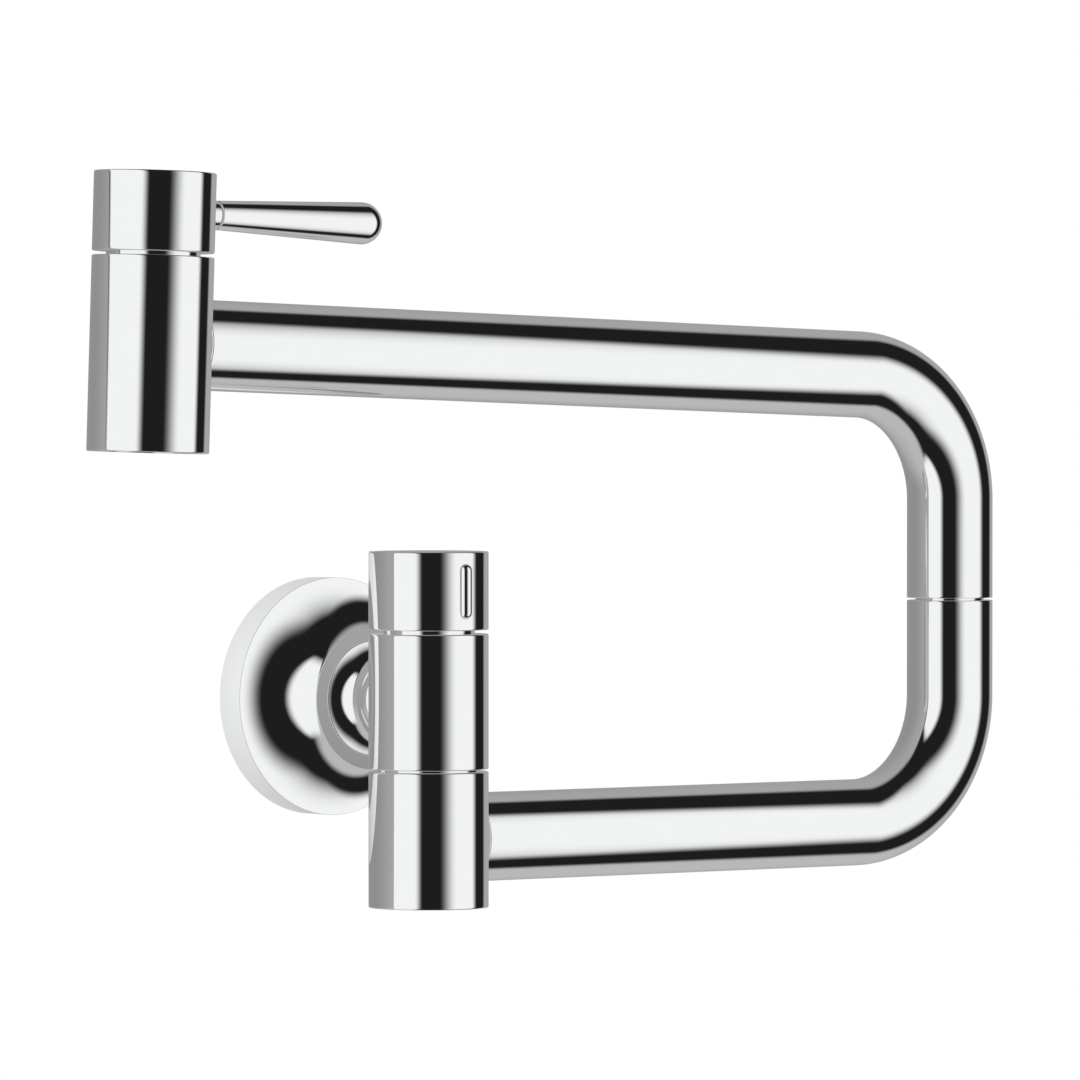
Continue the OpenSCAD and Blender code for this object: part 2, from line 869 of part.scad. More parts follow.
module lever_handle() {
    color(chrome)
        at_outlet()
            translate([0, 0, lever_z])
                difference() {
                    union() {
                        translate([lever_start, 0, 0])
                            rotate([0, 90, 0])
                                cylinder(r1 = lever_root_d / 2, r2 = lever_tip_d / 2, h = lever_sphere_x - lever_start);
                        translate([lever_sphere_x, 0, 0]) sphere(r = lever_tip_d / 2);
                    }
                    bar_x(neck_r + fit, lever_start - cut, lever_start + neck_plug + fit);
                }
}

module aerator_housing() {
    color(fitting_grey)
        at_head() {
            ring(aerator_r + aerator_lip, insert_r, -head_below + aerator_step, -head_below + aerator_h - aerator_lip);
            ring(aerator_r, insert_r, -head_below + aerator_up, -head_below + aerator_step);
        }
}

// Round grid of square holes, with a rim
module aerator_insert() {
    reach = floor((insert_r - insert_rim) / mesh_pitch);
    color(polymer)
        at_head()
            translate([0, 0, -head_below + insert_up])
                difference() {
                    disc(insert_r - fit, 0, aerator_h - insert_short);
                    for (i = [-reach:reach], j = [-reach:reach])
                        if (norm([i, j]) * mesh_pitch < insert_r - insert_rim)
                            translate([i * mesh_pitch - mesh_hole / 2, j * mesh_pitch - mesh_hole / 2, -cut])
                                cube([mesh_hole, mesh_hole, aerator_h]);
                }
}

module aerator_seal() {
    color(rubber)
        at_head() ring(aerator_r + aerator_lip, insert_r - aerator_lip, -head_below + aerator_h - aerator_lip, -head_below + aerator_pocket - fit);
}

wall_flange();
flange_seal();
inlet_nipple();
nipple_seal();
valve_body();
shutoff_cartridge();
shutoff_cartridge_seal();
shutoff_fixed_disc();
shutoff_retaining_nut();
shutoff_spindle_seal();
swivel_stem();
swivel_seals();
swivel_slide_ring();
swivel_clip();
shutoff_knob();
shutoff_marker();
shutoff_spindle();
shutoff_moving_disc();
shutoff_knob_screw();
swivel_housing();
housing_cap();
housing_cap_seal();
lower_tube();
elbow_socket();
elbow_slide_ring();
elbow_spigot();
elbow_seals();
elbow_clip();
upper_tube();
outlet_body();
outlet_cartridge();
outlet_cartridge_seal();
outlet_fixed_disc();
outlet_retaining_nut();
outlet_spindle_seal();
aerator_housing();
aerator_insert();
aerator_seal();
outlet_knob();
outlet_spindle();
outlet_moving_disc();
outlet_knob_screw();
lever_neck();
lever_handle();
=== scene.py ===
"""Dresses the pot filler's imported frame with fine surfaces, finishes, a studio and a camera."""

from __future__ import annotations

import json
import logging
import math
from dataclasses import dataclass
from enum import Enum

import bmesh
import bpy
import numpy as np
from mathutils import Euler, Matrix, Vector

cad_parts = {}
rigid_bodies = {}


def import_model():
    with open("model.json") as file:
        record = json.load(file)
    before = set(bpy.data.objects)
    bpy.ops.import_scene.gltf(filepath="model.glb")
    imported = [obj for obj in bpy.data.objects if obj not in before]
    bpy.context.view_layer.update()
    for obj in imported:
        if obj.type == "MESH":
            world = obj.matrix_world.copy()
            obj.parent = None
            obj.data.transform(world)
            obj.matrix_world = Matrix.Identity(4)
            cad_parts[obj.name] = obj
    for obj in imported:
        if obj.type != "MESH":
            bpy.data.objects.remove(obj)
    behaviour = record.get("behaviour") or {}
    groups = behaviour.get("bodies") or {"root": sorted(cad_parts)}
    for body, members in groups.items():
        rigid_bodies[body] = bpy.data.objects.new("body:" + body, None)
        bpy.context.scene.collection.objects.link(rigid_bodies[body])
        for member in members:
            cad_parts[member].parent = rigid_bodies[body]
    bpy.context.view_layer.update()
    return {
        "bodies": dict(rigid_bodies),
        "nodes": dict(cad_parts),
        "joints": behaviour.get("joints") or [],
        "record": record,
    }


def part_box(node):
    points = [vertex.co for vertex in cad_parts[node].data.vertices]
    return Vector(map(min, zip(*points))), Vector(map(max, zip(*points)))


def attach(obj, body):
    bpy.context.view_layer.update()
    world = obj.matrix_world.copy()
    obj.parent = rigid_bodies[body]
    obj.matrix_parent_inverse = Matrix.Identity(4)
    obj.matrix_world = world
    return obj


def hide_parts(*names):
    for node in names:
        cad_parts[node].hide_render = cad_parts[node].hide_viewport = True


LOG = logging.getLogger("pot_filler")

# Sizes are in millimetres until they go into a mesh
MM = 0.001
# Stretches of a full turn, on large and on small round pieces, and of a rounded corner
ROUND_SIDES = 192
SMALL_SIDES = 96
FILLET_STEPS = 6
# A holding point stands this far outside a rounded corner, or this share of the room there
HOLD = 0.4
HOLD_SHARE = 0.25
# Points nearer than this to each other, or to the axis, count as one
SAME_POINT = 1e-5
ON_AXIS = 1e-6
# Corner radii of the rims that show, and of the edges in the gaps and inside
EDGE = 0.4
SMALL_EDGE = 0.12
# How far a cutting shell reaches past what it cuts, and the degrees past which the cut
# piece's edges are kept sharp
OVERSHOOT = 1.0
CUT_CREASE = 40.0
# Detail and fall-off of every finish's grain, and the part of its range that it uses
GRAIN_DETAIL = 3.0
GRAIN_FALL = 0.55
GRAIN_RANGE = (0.3, 0.7)
# Sizes that more than one piece shares, as in the part's source
COLUMN_R = 17.5
COLUMN_ABOVE = 19.4
TUBE_R = 13.0
KNOB_GAP = 1.2
HEAD_ABOVE = 24.7
SCREW_UP = 11.4
TUBE_FROM_COLUMN = 13.0
TUBE_FROM_HEAD = 12.62

# A point of a turned outline: radius from the axis, height and corner radius
Corner = tuple[float, float, float]


class Body(Enum):
    """The rigid bodies of the pot filler."""

    WALL = "wall_body"
    SHUTOFF = "shutoff_handle"
    LOWER_ARM = "lower_arm"
    UPPER_ARM = "upper_arm"
    LEVER = "outlet_lever"


def linear(hex_colour: str) -> tuple[float, float, float, float]:
    """Turns an sRGB hex colour to linear.

    Args:
        hex_colour: six hex digits after a hash.

    Returns:
        Red, green, blue and an alpha of 1.
    """
    channels = np.array([int(hex_colour[i : i + 2], 16) for i in (1, 3, 5)]) / 255
    low = channels / 12.92
    high = ((channels + 0.055) / 1.055) ** 2.4
    red, green, blue = np.where(channels <= 0.04045, low, high).tolist()
    return red, green, blue, 1.0


def add_node(
    tree: bpy.types.NodeTree,
    kind: str,
    settings: dict[str, object] | None = None,
    inputs: dict[int | str, object] | None = None,
) -> bpy.types.Node:
    """Adds a node with its settings, and sets or links its inputs.

    Args:
        tree: the node tree that gets the node.
        kind: Blender's type name for the node.
        settings: attributes of the node.
        inputs: for an input's name or number, a value or the socket that feeds it.

    Returns:
        The new node.
    """
    node = tree.nodes.new(kind)
    for name, value in (settings or {}).items():
        setattr(node, name, value)
    for name, value in (inputs or {}).items():
        if isinstance(value, bpy.types.NodeSocket):
            tree.links.new(value, node.inputs[name])
        else:
            node.inputs[name].default_value = value
    return node


def wire(tree: bpy.types.NodeTree, known: dict[str, bpy.types.NodeSocket], steps: list[tuple]) -> None:
    """Adds a chain of arithmetic steps to a tree.

    A step is its result's name, its operation and what feeds it: numbers, or the names of
    earlier results. SMOOTHSTEP takes a value and the two places where it gives 0 and 1.

    Args:
        tree: the node tree that gets the steps.
        known: sockets by name, which also takes up the results.
        steps: the steps, in order.
    """
    for result, operation, *feeds in steps:
        sockets = [known[feed] if isinstance(feed, str) else feed for feed in feeds]
        if operation == "SMOOTHSTEP":
            kind, settings = "ShaderNodeMapRange", {"interpolation_type": operation}
            inputs = dict(zip(("Value", "From Min", "From Max"), sockets, strict=True))
        else:
            kind, settings = "ShaderNodeMath", {"operation": operation}
            inputs = dict(enumerate(sockets))
        known[result] = add_node(tree, kind, settings, inputs).outputs[0]


def bare_material(name: str) -> bpy.types.Material:
    """Makes a material whose node tree is empty."""
    made = bpy.data.materials.new(name)
    made.use_nodes = True
    made.node_tree.nodes.clear()
    return made


@dataclass(frozen=True)
class Finish:
    """A real material and the process that made its surface.

    grain_mm is the size of its unevenness, rough_low and rough_high the range of its
    roughness, relief_mm the height of its bumps and tone how far its colour varies.
    """

    name: str
    slot: str
    colour: str
    metallic: float
    rough_low: float
    rough_high: float
    grain_mm: float
    relief_mm: float
    tone: float
    ior: float = 1.5

    def material(self) -> bpy.types.Material:
        """Makes the finish's node material, where it isn't made yet.

        Returns:
            The material.
        """
        made = bpy.data.materials.get(self.name)
        if made:
            return made
        made = bare_material(self.name)
        tree = made.node_tree
        place = add_node(tree, "ShaderNodeTexCoord").outputs["Object"]
        scale = 1 / (self.grain_mm * MM)
        grain = add_node(
            tree,
            "ShaderNodeTexNoise",
            {"noise_dimensions": "3D"},
            {"Vector": place, "Scale": scale, "Detail": GRAIN_DETAIL, "Roughness": GRAIN_FALL},
        ).outputs["Fac"]
        low, high = GRAIN_RANGE
        rough = add_node(
            tree,
            "ShaderNodeMapRange",
            {},
            {0: grain, 1: low, 2: high, 3: self.rough_low, 4: self.rough_high},
        ).outputs["Result"]
        base = linear(self.colour)
        dark = (*(c * (1 - self.tone) for c in base[:3]), 1.0)
        mix = add_node(tree, "ShaderNodeMix", {"data_type": "RGBA"}, {0: grain, 6: dark, 7: base})
        shader = add_node(
            tree,
            "ShaderNodeBsdfPrincipled",
            {},
            {"Base Color": mix.outputs[2], "Metallic": self.metallic, "Roughness": rough, "IOR": self.ior},
        )
        if self.relief_mm > 0:
            relief = {"Height": grain, "Strength": 1.0, "Distance": self.relief_mm * MM}
            bump = add_node(tree, "ShaderNodeBump", {}, relief)
            tree.links.new(bump.outputs["Normal"], shader.inputs["Normal"])
        add_node(tree, "ShaderNodeOutputMaterial", {}, {"Surface": shader.outputs["BSDF"]})
        return made


# Bright chrome over polished brass: a near mirror, a little uneven from the polishing wheel
CHROME = Finish("bright_chrome_plate", "chrome_plate", "#E9EAEA", 1.0, 0.012, 0.022, 9.0, 0.0, 0.01)
# Turned brass, left bare inside: a warm metal with the lathe's fine unevenness
BRASS = Finish("turned_brass", "bare_brass", "#C9A760", 1.0, 0.22, 0.34, 0.5, 0.004, 0.10)
# Moulded nitrile rubber: nearly black, matt with a fine grain
RUBBER = Finish("moulded_nitrile", "seal_rubber", "#1E1E1F", 0.0, 0.55, 0.72, 0.35, 0.006, 0.15)
# Cold drawn stainless steel: bright, with a soft blur along the drawn surface
STEEL = Finish("drawn_stainless", "spring_steel", "#C4C6C8", 1.0, 0.16, 0.26, 0.4, 0.002, 0.05)
# Lapped alumina: off-white and smooth
CERAMIC = Finish("lapped_alumina", "disc_ceramic", "#EFEDE6", 0.0, 0.14, 0.22, 0.8, 0.0, 0.03, 1.76)
# Moulded acetal, natural: milky white with a satin skin
WHITE_ACETAL = Finish("moulded_acetal", "white_acetal", "#E4E4DE", 0.0, 0.32, 0.42, 0.6, 0.003, 0.03, 1.48)
# Moulded acetal, grey: satin skin, a little uneven where it left the mould
GREY_ACETAL = Finish("moulded_grey_acetal", "grey_acetal", "#8A8C90", 0.0, 0.34, 0.46, 0.6, 0.004, 0.06, 1.48)
FINISHES = {f.slot: f for f in (CHROME, BRASS, RUBBER, STEEL, CERAMIC, WHITE_ACETAL, GREY_ACETAL)}


@dataclass(frozen=True)
class Shell:
    """A closed surface: its vertices in millimetres, its quads and its triangles."""

    points: np.ndarray
    quads: np.ndarray
    triangles: np.ndarray

    def volume(self) -> float:
        """Signed volume: the sum over the faces of a . (b x c) / 6, from the origin.

        Returns:
            Cubic millimetres, below zero where the faces point inwards.
        """
        faces = np.vstack([self.quads[:, [0, 1, 2]], self.quads[:, [0, 2, 3]], self.triangles])
        a, b, c = (self.points[faces[:, i]] for i in range(3))
        return float(np.einsum("ij,ij->i", a, np.cross(b, c)).sum() / 6)

    def outward(self) -> Shell:
        """Turns every face round where the shell is inside out.

        Returns:
            The shell with its faces pointing outwards.
        """
        if self.volume() >= 0:
            return self
        return Shell(self.points, self.quads[:, ::-1], self.triangles[:, ::-1])


@dataclass(frozen=True)
class Spot:
    """A place with its own axes, given as rows, in millimetres in the row frame."""

    origin: np.ndarray
    axes: np.ndarray

    def shell(self, shell: Shell) -> Shell:
        """Puts a shell here: a point p goes to origin + p[0] X + p[1] Y + p[2] Z."""
        return Shell(shell.points @ self.axes + self.origin, shell.quads, shell.triangles)

    def at(self, x: float, z: float = 0.0) -> np.ndarray:
        """The point that far along the place's own X and Z."""
        return self.origin + x * self.axes[0] + z * self.axes[2]


def rounded(corners: list[Corner]) -> np.ndarray:
    """Rounds the corners of an outline.

    At each corner the way in is a, the way out is b and the turn between them is f. The
    arc starts t = radius tan(f / 2) before the corner, and its point at share u is
    start + radius (sin(u f) a + (1 - cos(u f)) n), where n is square to a on the side of
    the turn. A holding point lies just outside each end of the arc, so that the smooth
    shading of the flat beside it stays flat. A radius of 0 leaves the point as it is.

    Args:
        corners: the outline's corners, in order.

    Returns:
        The outline's points, with repeats left out.
    """
    rows = np.array(corners, float)
    points, radii = rows[:, :2], rows[:, 2].copy()
    radii[[0, -1]] = 0
    before = np.vstack([points[:1] * 2 - points[1:2], points[:-1]])
    after = np.vstack([points[1:], points[-1:] * 2 - points[-2:-1]])
    length_in = np.linalg.norm(points - before, axis=1)
    length_out = np.linalg.norm(after - points, axis=1)
    a = (points - before) / length_in[:, None]
    b = (after - points) / length_out[:, None]
    cross = a[:, 0] * b[:, 1] - a[:, 1] * b[:, 0]
    turn = np.abs(np.arctan2(cross, (a * b).sum(1)))
    reach = radii * np.tan(turn / 2)
    normal = np.sign(cross)[:, None] * np.stack([-a[:, 1], a[:, 0]], 1)
    share = np.linspace(0, 1, FILLET_STEPS + 1)[None, :] * turn[:, None]
    start = points - a * reach[:, None]
    end = points + b * reach[:, None]
    arc = start[:, None] + radii[:, None, None] * (
        np.sin(share)[..., None] * a[:, None] + (1 - np.cos(share))[..., None] * normal[:, None]
    )
    spare_in = np.clip(length_in - reach - np.append(0, reach[:-1]), 0, None)
    spare_out = np.clip(length_out - reach - np.append(reach[1:], 0), 0, None)
    held = radii > 0
    hold_in = start - a * (np.minimum(HOLD, spare_in * HOLD_SHARE) * held)[:, None]
    hold_out = end + b * (np.minimum(HOLD, spare_out * HOLD_SHARE) * held)[:, None]
    line = np.concatenate([hold_in[:, None], arc, hold_out[:, None]], 1).reshape(-1, 2)
    fresh = np.append(True, np.linalg.norm(np.diff(line, axis=0), axis=1) > SAME_POINT)
    return line[fresh]


def arc_points(
    centre: tuple[float, float], radius: float, start: float, stop: float, steps: int
) -> list[Corner]:
    """Points on an arc: centre + radius (cos a, sin a), a from start to stop in degrees.

    Args:
        centre: the arc's centre.
        radius: its radius.
        start: first angle.
        stop: last angle.
        steps: how many stretches it has.

    Returns:
        The points, each with a corner radius of 0.
    """
    angles = np.radians(np.linspace(start, stop, steps + 1))
    across = centre[0] + radius * np.cos(angles)
    along = centre[1] + radius * np.sin(angles)
    return list(zip(across.tolist(), along.tolist(), np.zeros(steps + 1).tolist(), strict=True))


def grid_faces(rows: int, sides: int, closed: bool) -> np.ndarray:
    """Quads of a grid whose rows close on themselves.

    The quad at row i and side j joins (i, j), (i, j + 1), (i + 1, j + 1) and (i + 1, j).

    Args:
        rows: how many rows the grid has.
        sides: how many points a row has.
        closed: whether the last row joins the first.

    Returns:
        An array of four vertex numbers a quad.
    """
    i = np.arange(rows if closed else rows - 1)[:, None]
    j = np.arange(sides)[None, :]
    here, below = i * sides, ((i + 1) % rows) * sides
    beside = (j + 1) % sides
    return np.stack([here + j, here + beside, below + beside, below + j], -1).reshape(-1, 4)


def grid_shell(points: np.ndarray) -> Shell:
    """Closes a grid on itself both ways.

    Args:
        points: rows by sides by 3, in millimetres.

    Returns:
        A closed shell.
    """
    quads = grid_faces(points.shape[0], points.shape[1], True)
    return Shell(points.reshape(-1, 3), quads, np.empty((0, 3), int)).outward()


def ring_points(radii: np.ndarray, heights: np.ndarray, sides: int) -> np.ndarray:
    """Rings about the axis: the point at angle t is (r cos t, r sin t, h).

    Args:
        radii: a row a ring, of one radius or of one a side.
        heights: the rings' heights, a row each.
        sides: how many points a ring has.

    Returns:
        An array of rings by sides by 3.
    """
    t = np.linspace(0, 2 * np.pi, sides, endpoint=False)[None, :]
    x, y = radii * np.cos(t), radii * np.sin(t)
    return np.stack([x, y, np.broadcast_to(heights, x.shape)], -1)


def lathe(profile: np.ndarray, sides: int = ROUND_SIDES) -> Shell:
    """Turns a profile about the axis.

    A profile that starts and ends on the axis closes there with a fan, and any other
    closes on itself.

    Args:
        profile: radius and height of each point, in millimetres.
        sides: how many stretches a turn has.

    Returns:
        A closed shell about the Z axis.
    """
    if max(profile[0, 0], profile[-1, 0]) >= ON_AXIS:
        return grid_shell(ring_points(profile[:, :1], profile[:, 1:], sides))
    ring = profile[1:-1]
    points = ring_points(ring[:, :1], ring[:, 1:], sides).reshape(-1, 3)
    poles = np.array([[0, 0, profile[0, 1]], [0, 0, profile[-1, 1]]])
    first, last = len(points), len(points) + 1
    j = np.arange(sides)
    beside = (j + 1) % sides
    base = (len(ring) - 1) * sides
    low = np.stack([np.full(sides, first), beside, j], 1)
    high = np.stack([np.full(sides, last), base + j, base + beside], 1)
    quads = grid_faces(len(ring), sides, False)
    return Shell(np.vstack([points, poles]), quads, np.vstack([low, high])).outward()


def solid(corners: list[Corner], sides: int = ROUND_SIDES) -> Shell:
    """Turns an outline that starts and ends on the axis, with its corners rounded."""
    return lathe(rounded(corners), sides)


def hollow(corners: list[Corner]) -> Shell:
    """Turns an outline that closes on itself at its first point, with its corners rounded."""
    return lathe(rounded([*corners, corners[0]])[:-1])


def joined(*shells: Shell) -> Shell:
    """Puts several closed shells into one, with the vertex numbers moved up.

    Args:
        shells: the shells.

    Returns:
        One shell with all their faces.
    """
    starts = np.cumsum([0, *(len(s.points) for s in shells[:-1])])
    return Shell(
        np.vstack([s.points for s in shells]),
        np.vstack([s.quads + n for s, n in zip(shells, starts, strict=True)]),
        np.vstack([s.triangles + n for s, n in zip(shells, starts, strict=True)]).astype(int),
    )


def slab(low: tuple[float, float, float], high: tuple[float, float, float]) -> Shell:
    """A closed cuboid: four points round its bottom, and the same four at its top.

    Args:
        low: its lowest corner.
        high: its highest corner.

    Returns:
        The cuboid.
    """
    (x0, y0, z0), (x1, y1, z1) = low, high
    points = np.array([(x, y, z) for z in (z0, z1) for x, y in ((x0, y0), (x1, y0), (x1, y1), (x0, y1))])
    quads = np.array([(0, 3, 2, 1), (4, 5, 6, 7), (0, 1, 5, 4), (1, 2, 6, 5), (2, 3, 7, 6), (3, 0, 4, 7)])
    return Shell(points, quads, np.empty((0, 3), int)).outward()


def shell_object(name: str, shell: Shell, material: bpy.types.Material | None = None) -> bpy.types.Object:
    """Makes an object at the origin from a shell.

    Args:
        name: the object's name, and its mesh's.
        shell: its surface in the row frame, in millimetres.
        material: its material, where it has one.

    Returns:
        The object, linked to the scene.
    """
    mesh = bpy.data.meshes.new(name)
    mesh.from_pydata((shell.points * MM).tolist(), [], shell.quads.tolist() + shell.triangles.tolist())
    mesh.update()
    if material:
        mesh.materials.append(material)
    made = bpy.data.objects.new(name, mesh)
    bpy.context.scene.collection.objects.link(made)
    return made


def dress(piece: bpy.types.Object, node: str, body: str, finish: Finish) -> None:
    """Shows a smooth-shaded piece in place of a CAD node.

    Args:
        piece: the piece, linked and without a material.
        node: the CAD node that it stands for.
        body: the body that it moves with.
        finish: what it is made of.
    """
    piece.data.shade_smooth()
    piece.data.materials.append(finish.material())
    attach(piece, body)
    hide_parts(node)
    LOG.info("%s: %d faces, %s", piece.name, len(piece.data.polygons), finish.name)


def make_piece(name: str, node: str, body: Body, shell: Shell, finish: Finish = CHROME) -> bpy.types.Object:
    """Makes a dressed piece from a shell.

    Args:
        name: the piece's name.
        node: the CAD node that it is shown in place of.
        body: the body that it moves with.
        shell: its surface in the row frame, in millimetres.
        finish: what it is made of.

    Returns:
        The piece.
    """
    piece = shell_object(name, shell)
    dress(piece, node, body.value, finish)
    return piece


def drill(piece: bpy.types.Object, cutter: Shell) -> None:
    """Cuts a closed shell out of a piece, and keeps the cut's edges sharp.

    Args:
        piece: the piece, which stands unturned at the origin.
        cutter: what is taken away, in the row frame.
    """
    tool = shell_object("cutter", cutter)
    cut = piece.modifiers.new("cut", "BOOLEAN")
    cut.operation, cut.solver, cut.object = "DIFFERENCE", "EXACT", tool
    graph = bpy.context.evaluated_depsgraph_get()
    drilled = bpy.data.meshes.new_from_object(piece.evaluated_get(graph))
    piece.modifiers.clear()
    piece.data = drilled
    drilled.set_sharp_from_angle(angle=math.radians(CUT_CREASE))
    bpy.data.objects.remove(tool)


def level_spot(x: float, y: float) -> Spot:
    """A place on an upright axis, with the row frame's own directions."""
    return Spot(np.array([x, y, 0.0]), np.eye(3))


@dataclass
class Layout:
    """Axes of the pot filler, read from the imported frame."""

    frame: dict

    def joint(self, name: str) -> tuple[np.ndarray, np.ndarray]:
        """Place in millimetres and direction of a joint."""
        found = next(j for j in self.frame["joints"] if j["name"] == name)
        return np.array(found["pos_m"], float) / MM, np.array(found["axis"], float)

    def upright(self, name: str) -> Spot:
        """The axis of a joint that stands upright."""
        place, _ = self.joint(name)
        return level_spot(place[0], place[1])

    def head(self) -> Spot:
        """The outlet head's axis, which leans with the upper arm's rise.

        Returns:
            A place whose Z is the axis and whose Y points into the wall.
        """
        place, up = self.joint("outlet_turn")
        up = up / np.linalg.norm(up)
        y = np.array([0.0, 1.0, 0.0])
        return Spot(place, np.vstack([np.cross(y, up), y, up]))

    def inlet(self) -> Spot:
        """The inlet's axis: its own Z points out of the wall."""
        return Spot(np.zeros(3), np.array([[1.0, 0, 0], [0, 0, 1.0], [0, -1.0, 0]]))


def span(node: str, axis: int) -> tuple[float, float]:
    """Lowest and highest place of a CAD node along an axis, in millimetres."""
    low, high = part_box(node)
    return low[axis] / MM, high[axis] / MM


def flange_front() -> float:
    """How far the wall flange's front ring stands out from the wall."""
    return -span("wall_flange", 1)[0]


@dataclass
class WallFlange:
    """The wall flange: a rim, a hollow sweep and an undercut front ring."""

    spot: Spot
    rim_h: float = 9.8
    sweep_r: float = 22.0
    sweep_steps: int = 72
    wall: float = 2.6
    ring_r: float = 21.0
    ring_edge: float = 0.3
    ring_edge_r: float = 0.06
    throat_back: float = 5.0
    undercut: float = 3.91
    face_hole_r: float = 16.85
    hub_hole_r: float = 14.8
    step: float = 1.5
    wall_land: float = 4.0
    cavity_throat: float = 11.0
    cavity_steps: int = 24
    groove_r: float = 32.3
    groove_w: float = 1.6
    groove_h: float = 1.2

    def shell(self) -> Shell:
        """Outer radius and front plane come from the CAD node, and the sweep is one arc.

        The arc's centre lies sqrt(R^2 - c^2) from the middle of the chord from rim to
        throat, square to it, where c is half the chord. The cavity behind it is an arc
        about the same centre, larger by the wall.

        Returns:
            The flange in the row frame.
        """
        low, high = span("wall_flange", 0)
        rim_r = (high - low) / 2
        front = flange_front()
        rim = np.array([rim_r, self.rim_h])
        throat = np.array([self.ring_r - self.undercut, front - self.throat_back])
        half = np.linalg.norm(throat - rim) / 2
        way = (throat - rim) / (2 * half)
        back = math.sqrt(self.sweep_r**2 - half**2)
        centre = (rim + throat) / 2 + back * np.array([way[1], -way[0]])
        start, stop = (math.degrees(math.atan2(*(p - centre)[::-1])) for p in (rim, throat))
        sweep = arc_points(tuple(centre), self.sweep_r, start, stop, self.sweep_steps)
        sweep[0] = (*sweep[0][:2], SMALL_EDGE)
        inner = rim_r - self.wall_land
        cavity_r = self.sweep_r + self.wall
        cavity_start = -math.degrees(math.acos((inner - centre[0]) / cavity_r))
        cavity_turn = math.degrees(math.asin((centre[1] - front + self.cavity_throat) / cavity_r))
        cavity = arc_points(tuple(centre), cavity_r, cavity_turn - 180, cavity_start, self.cavity_steps)
        groove_end = self.groove_r + self.groove_w
        e = SMALL_EDGE
        corners = [
            (inner, 0, 0),
            (self.groove_r, 0, e),
            (self.groove_r, self.groove_h, e),
            (groove_end, self.groove_h, e),
            (groove_end, 0, e),
            (rim_r, 0, e),
            *sweep,
            (self.ring_r, front - self.ring_edge, self.ring_edge_r),
            (self.ring_r, front, e),
            (self.face_hole_r, front, e),
            (self.face_hole_r, front - self.step, e),
            (self.hub_hole_r, front - self.step, e),
            (self.hub_hole_r, front - self.cavity_throat, e),
            *cavity,
        ]
        return self.spot.shell(hollow(corners))

    def build(self) -> None:
        """Makes the flange."""
        make_piece("wall_flange_plate", "wall_flange", Body.WALL, self.shell())


@dataclass
class InletNipple:
    """The threaded nipple that goes into the wall's fitting."""

    spot: Spot
    major_r: float = 10.48
    pitch: float = 1.814
    depth: float = 1.16
    flank: float = 1.3
    root_flat: float = 0.15
    rings_a_pitch: int = 16
    length: float = 15.0
    waist_r: float = 9.48
    hub_thread_r: float = 10.38
    hub_mouth: float = 3.0
    inner_end: float = 16.0
    bore_r: float = 7.0
    crease: float = 50.0

    def shell(self) -> Shell:
        """A single-start thread on a tube.

        At turn t and height h the V has share s = |2 frac(h / pitch - t / 2 pi) - 1|, which
        flank s - root_flat, kept from 0 to 1, gives its flats. The radius is
        major - depth (1 - flats), cut down to a lead-in at the free end and to the waist at
        the wall's face.

        Returns:
            The nipple in the row frame.
        """
        t = np.linspace(0, 2 * np.pi, SMALL_SIDES, endpoint=False)[None, :]
        h = np.arange(-self.length, 0, self.pitch / self.rings_a_pitch)[:, None]
        share = np.abs(2 * ((h / self.pitch - t / (2 * np.pi)) % 1) - 1)
        flats = np.clip(self.flank * share - self.root_flat, 0, 1)
        thread = self.major_r - self.depth * (1 - flats)
        lead = self.waist_r + (h + self.length)
        runout = self.waist_r - h
        thread = np.minimum(np.minimum(thread, lead), runout)
        plain = [
            (self.waist_r, 0.0),
            (self.waist_r, self.hub_mouth),
            (self.hub_thread_r, self.hub_mouth),
            (self.hub_thread_r, self.inner_end),
            (self.bore_r, self.inner_end),
            (self.bore_r, -self.length),
        ]
        radii = np.vstack([thread, *(np.full_like(t, r) for r, _ in plain)])
        heights = np.concatenate([h[:, 0], [z for _, z in plain]])[:, None]
        return self.spot.shell(grid_shell(ring_points(radii, heights, SMALL_SIDES)))

    def build(self) -> None:
        """Makes the nipple, with its square corners kept sharp."""
        piece = make_piece("inlet_nipple_thread", "inlet_nipple", Body.WALL, self.shell(), BRASS)
        piece.data.set_sharp_from_angle(angle=math.radians(self.crease))


@dataclass(frozen=True)
class CartridgePocket:
    """The stepped pocket for a cartridge and its nut, the same in the column and the head."""

    radius: float = 12.0
    nut_radius: float = 13.55
    nut_depth: float = 3.6
    depth: float = 13.6

    def corners(self, top: float) -> list[Corner]:
        """Its outline from the mouth down to the axis.

        Args:
            top: height of the drum's top.

        Returns:
            The corners that end the drum's own outline.
        """
        return [
            (self.nut_radius, top, SMALL_EDGE),
            (self.nut_radius, top - self.nut_depth, SMALL_EDGE),
            (self.radius, top - self.nut_depth, SMALL_EDGE),
            (self.radius, top - self.depth, SMALL_EDGE),
            (0, top - self.depth, 0),
        ]


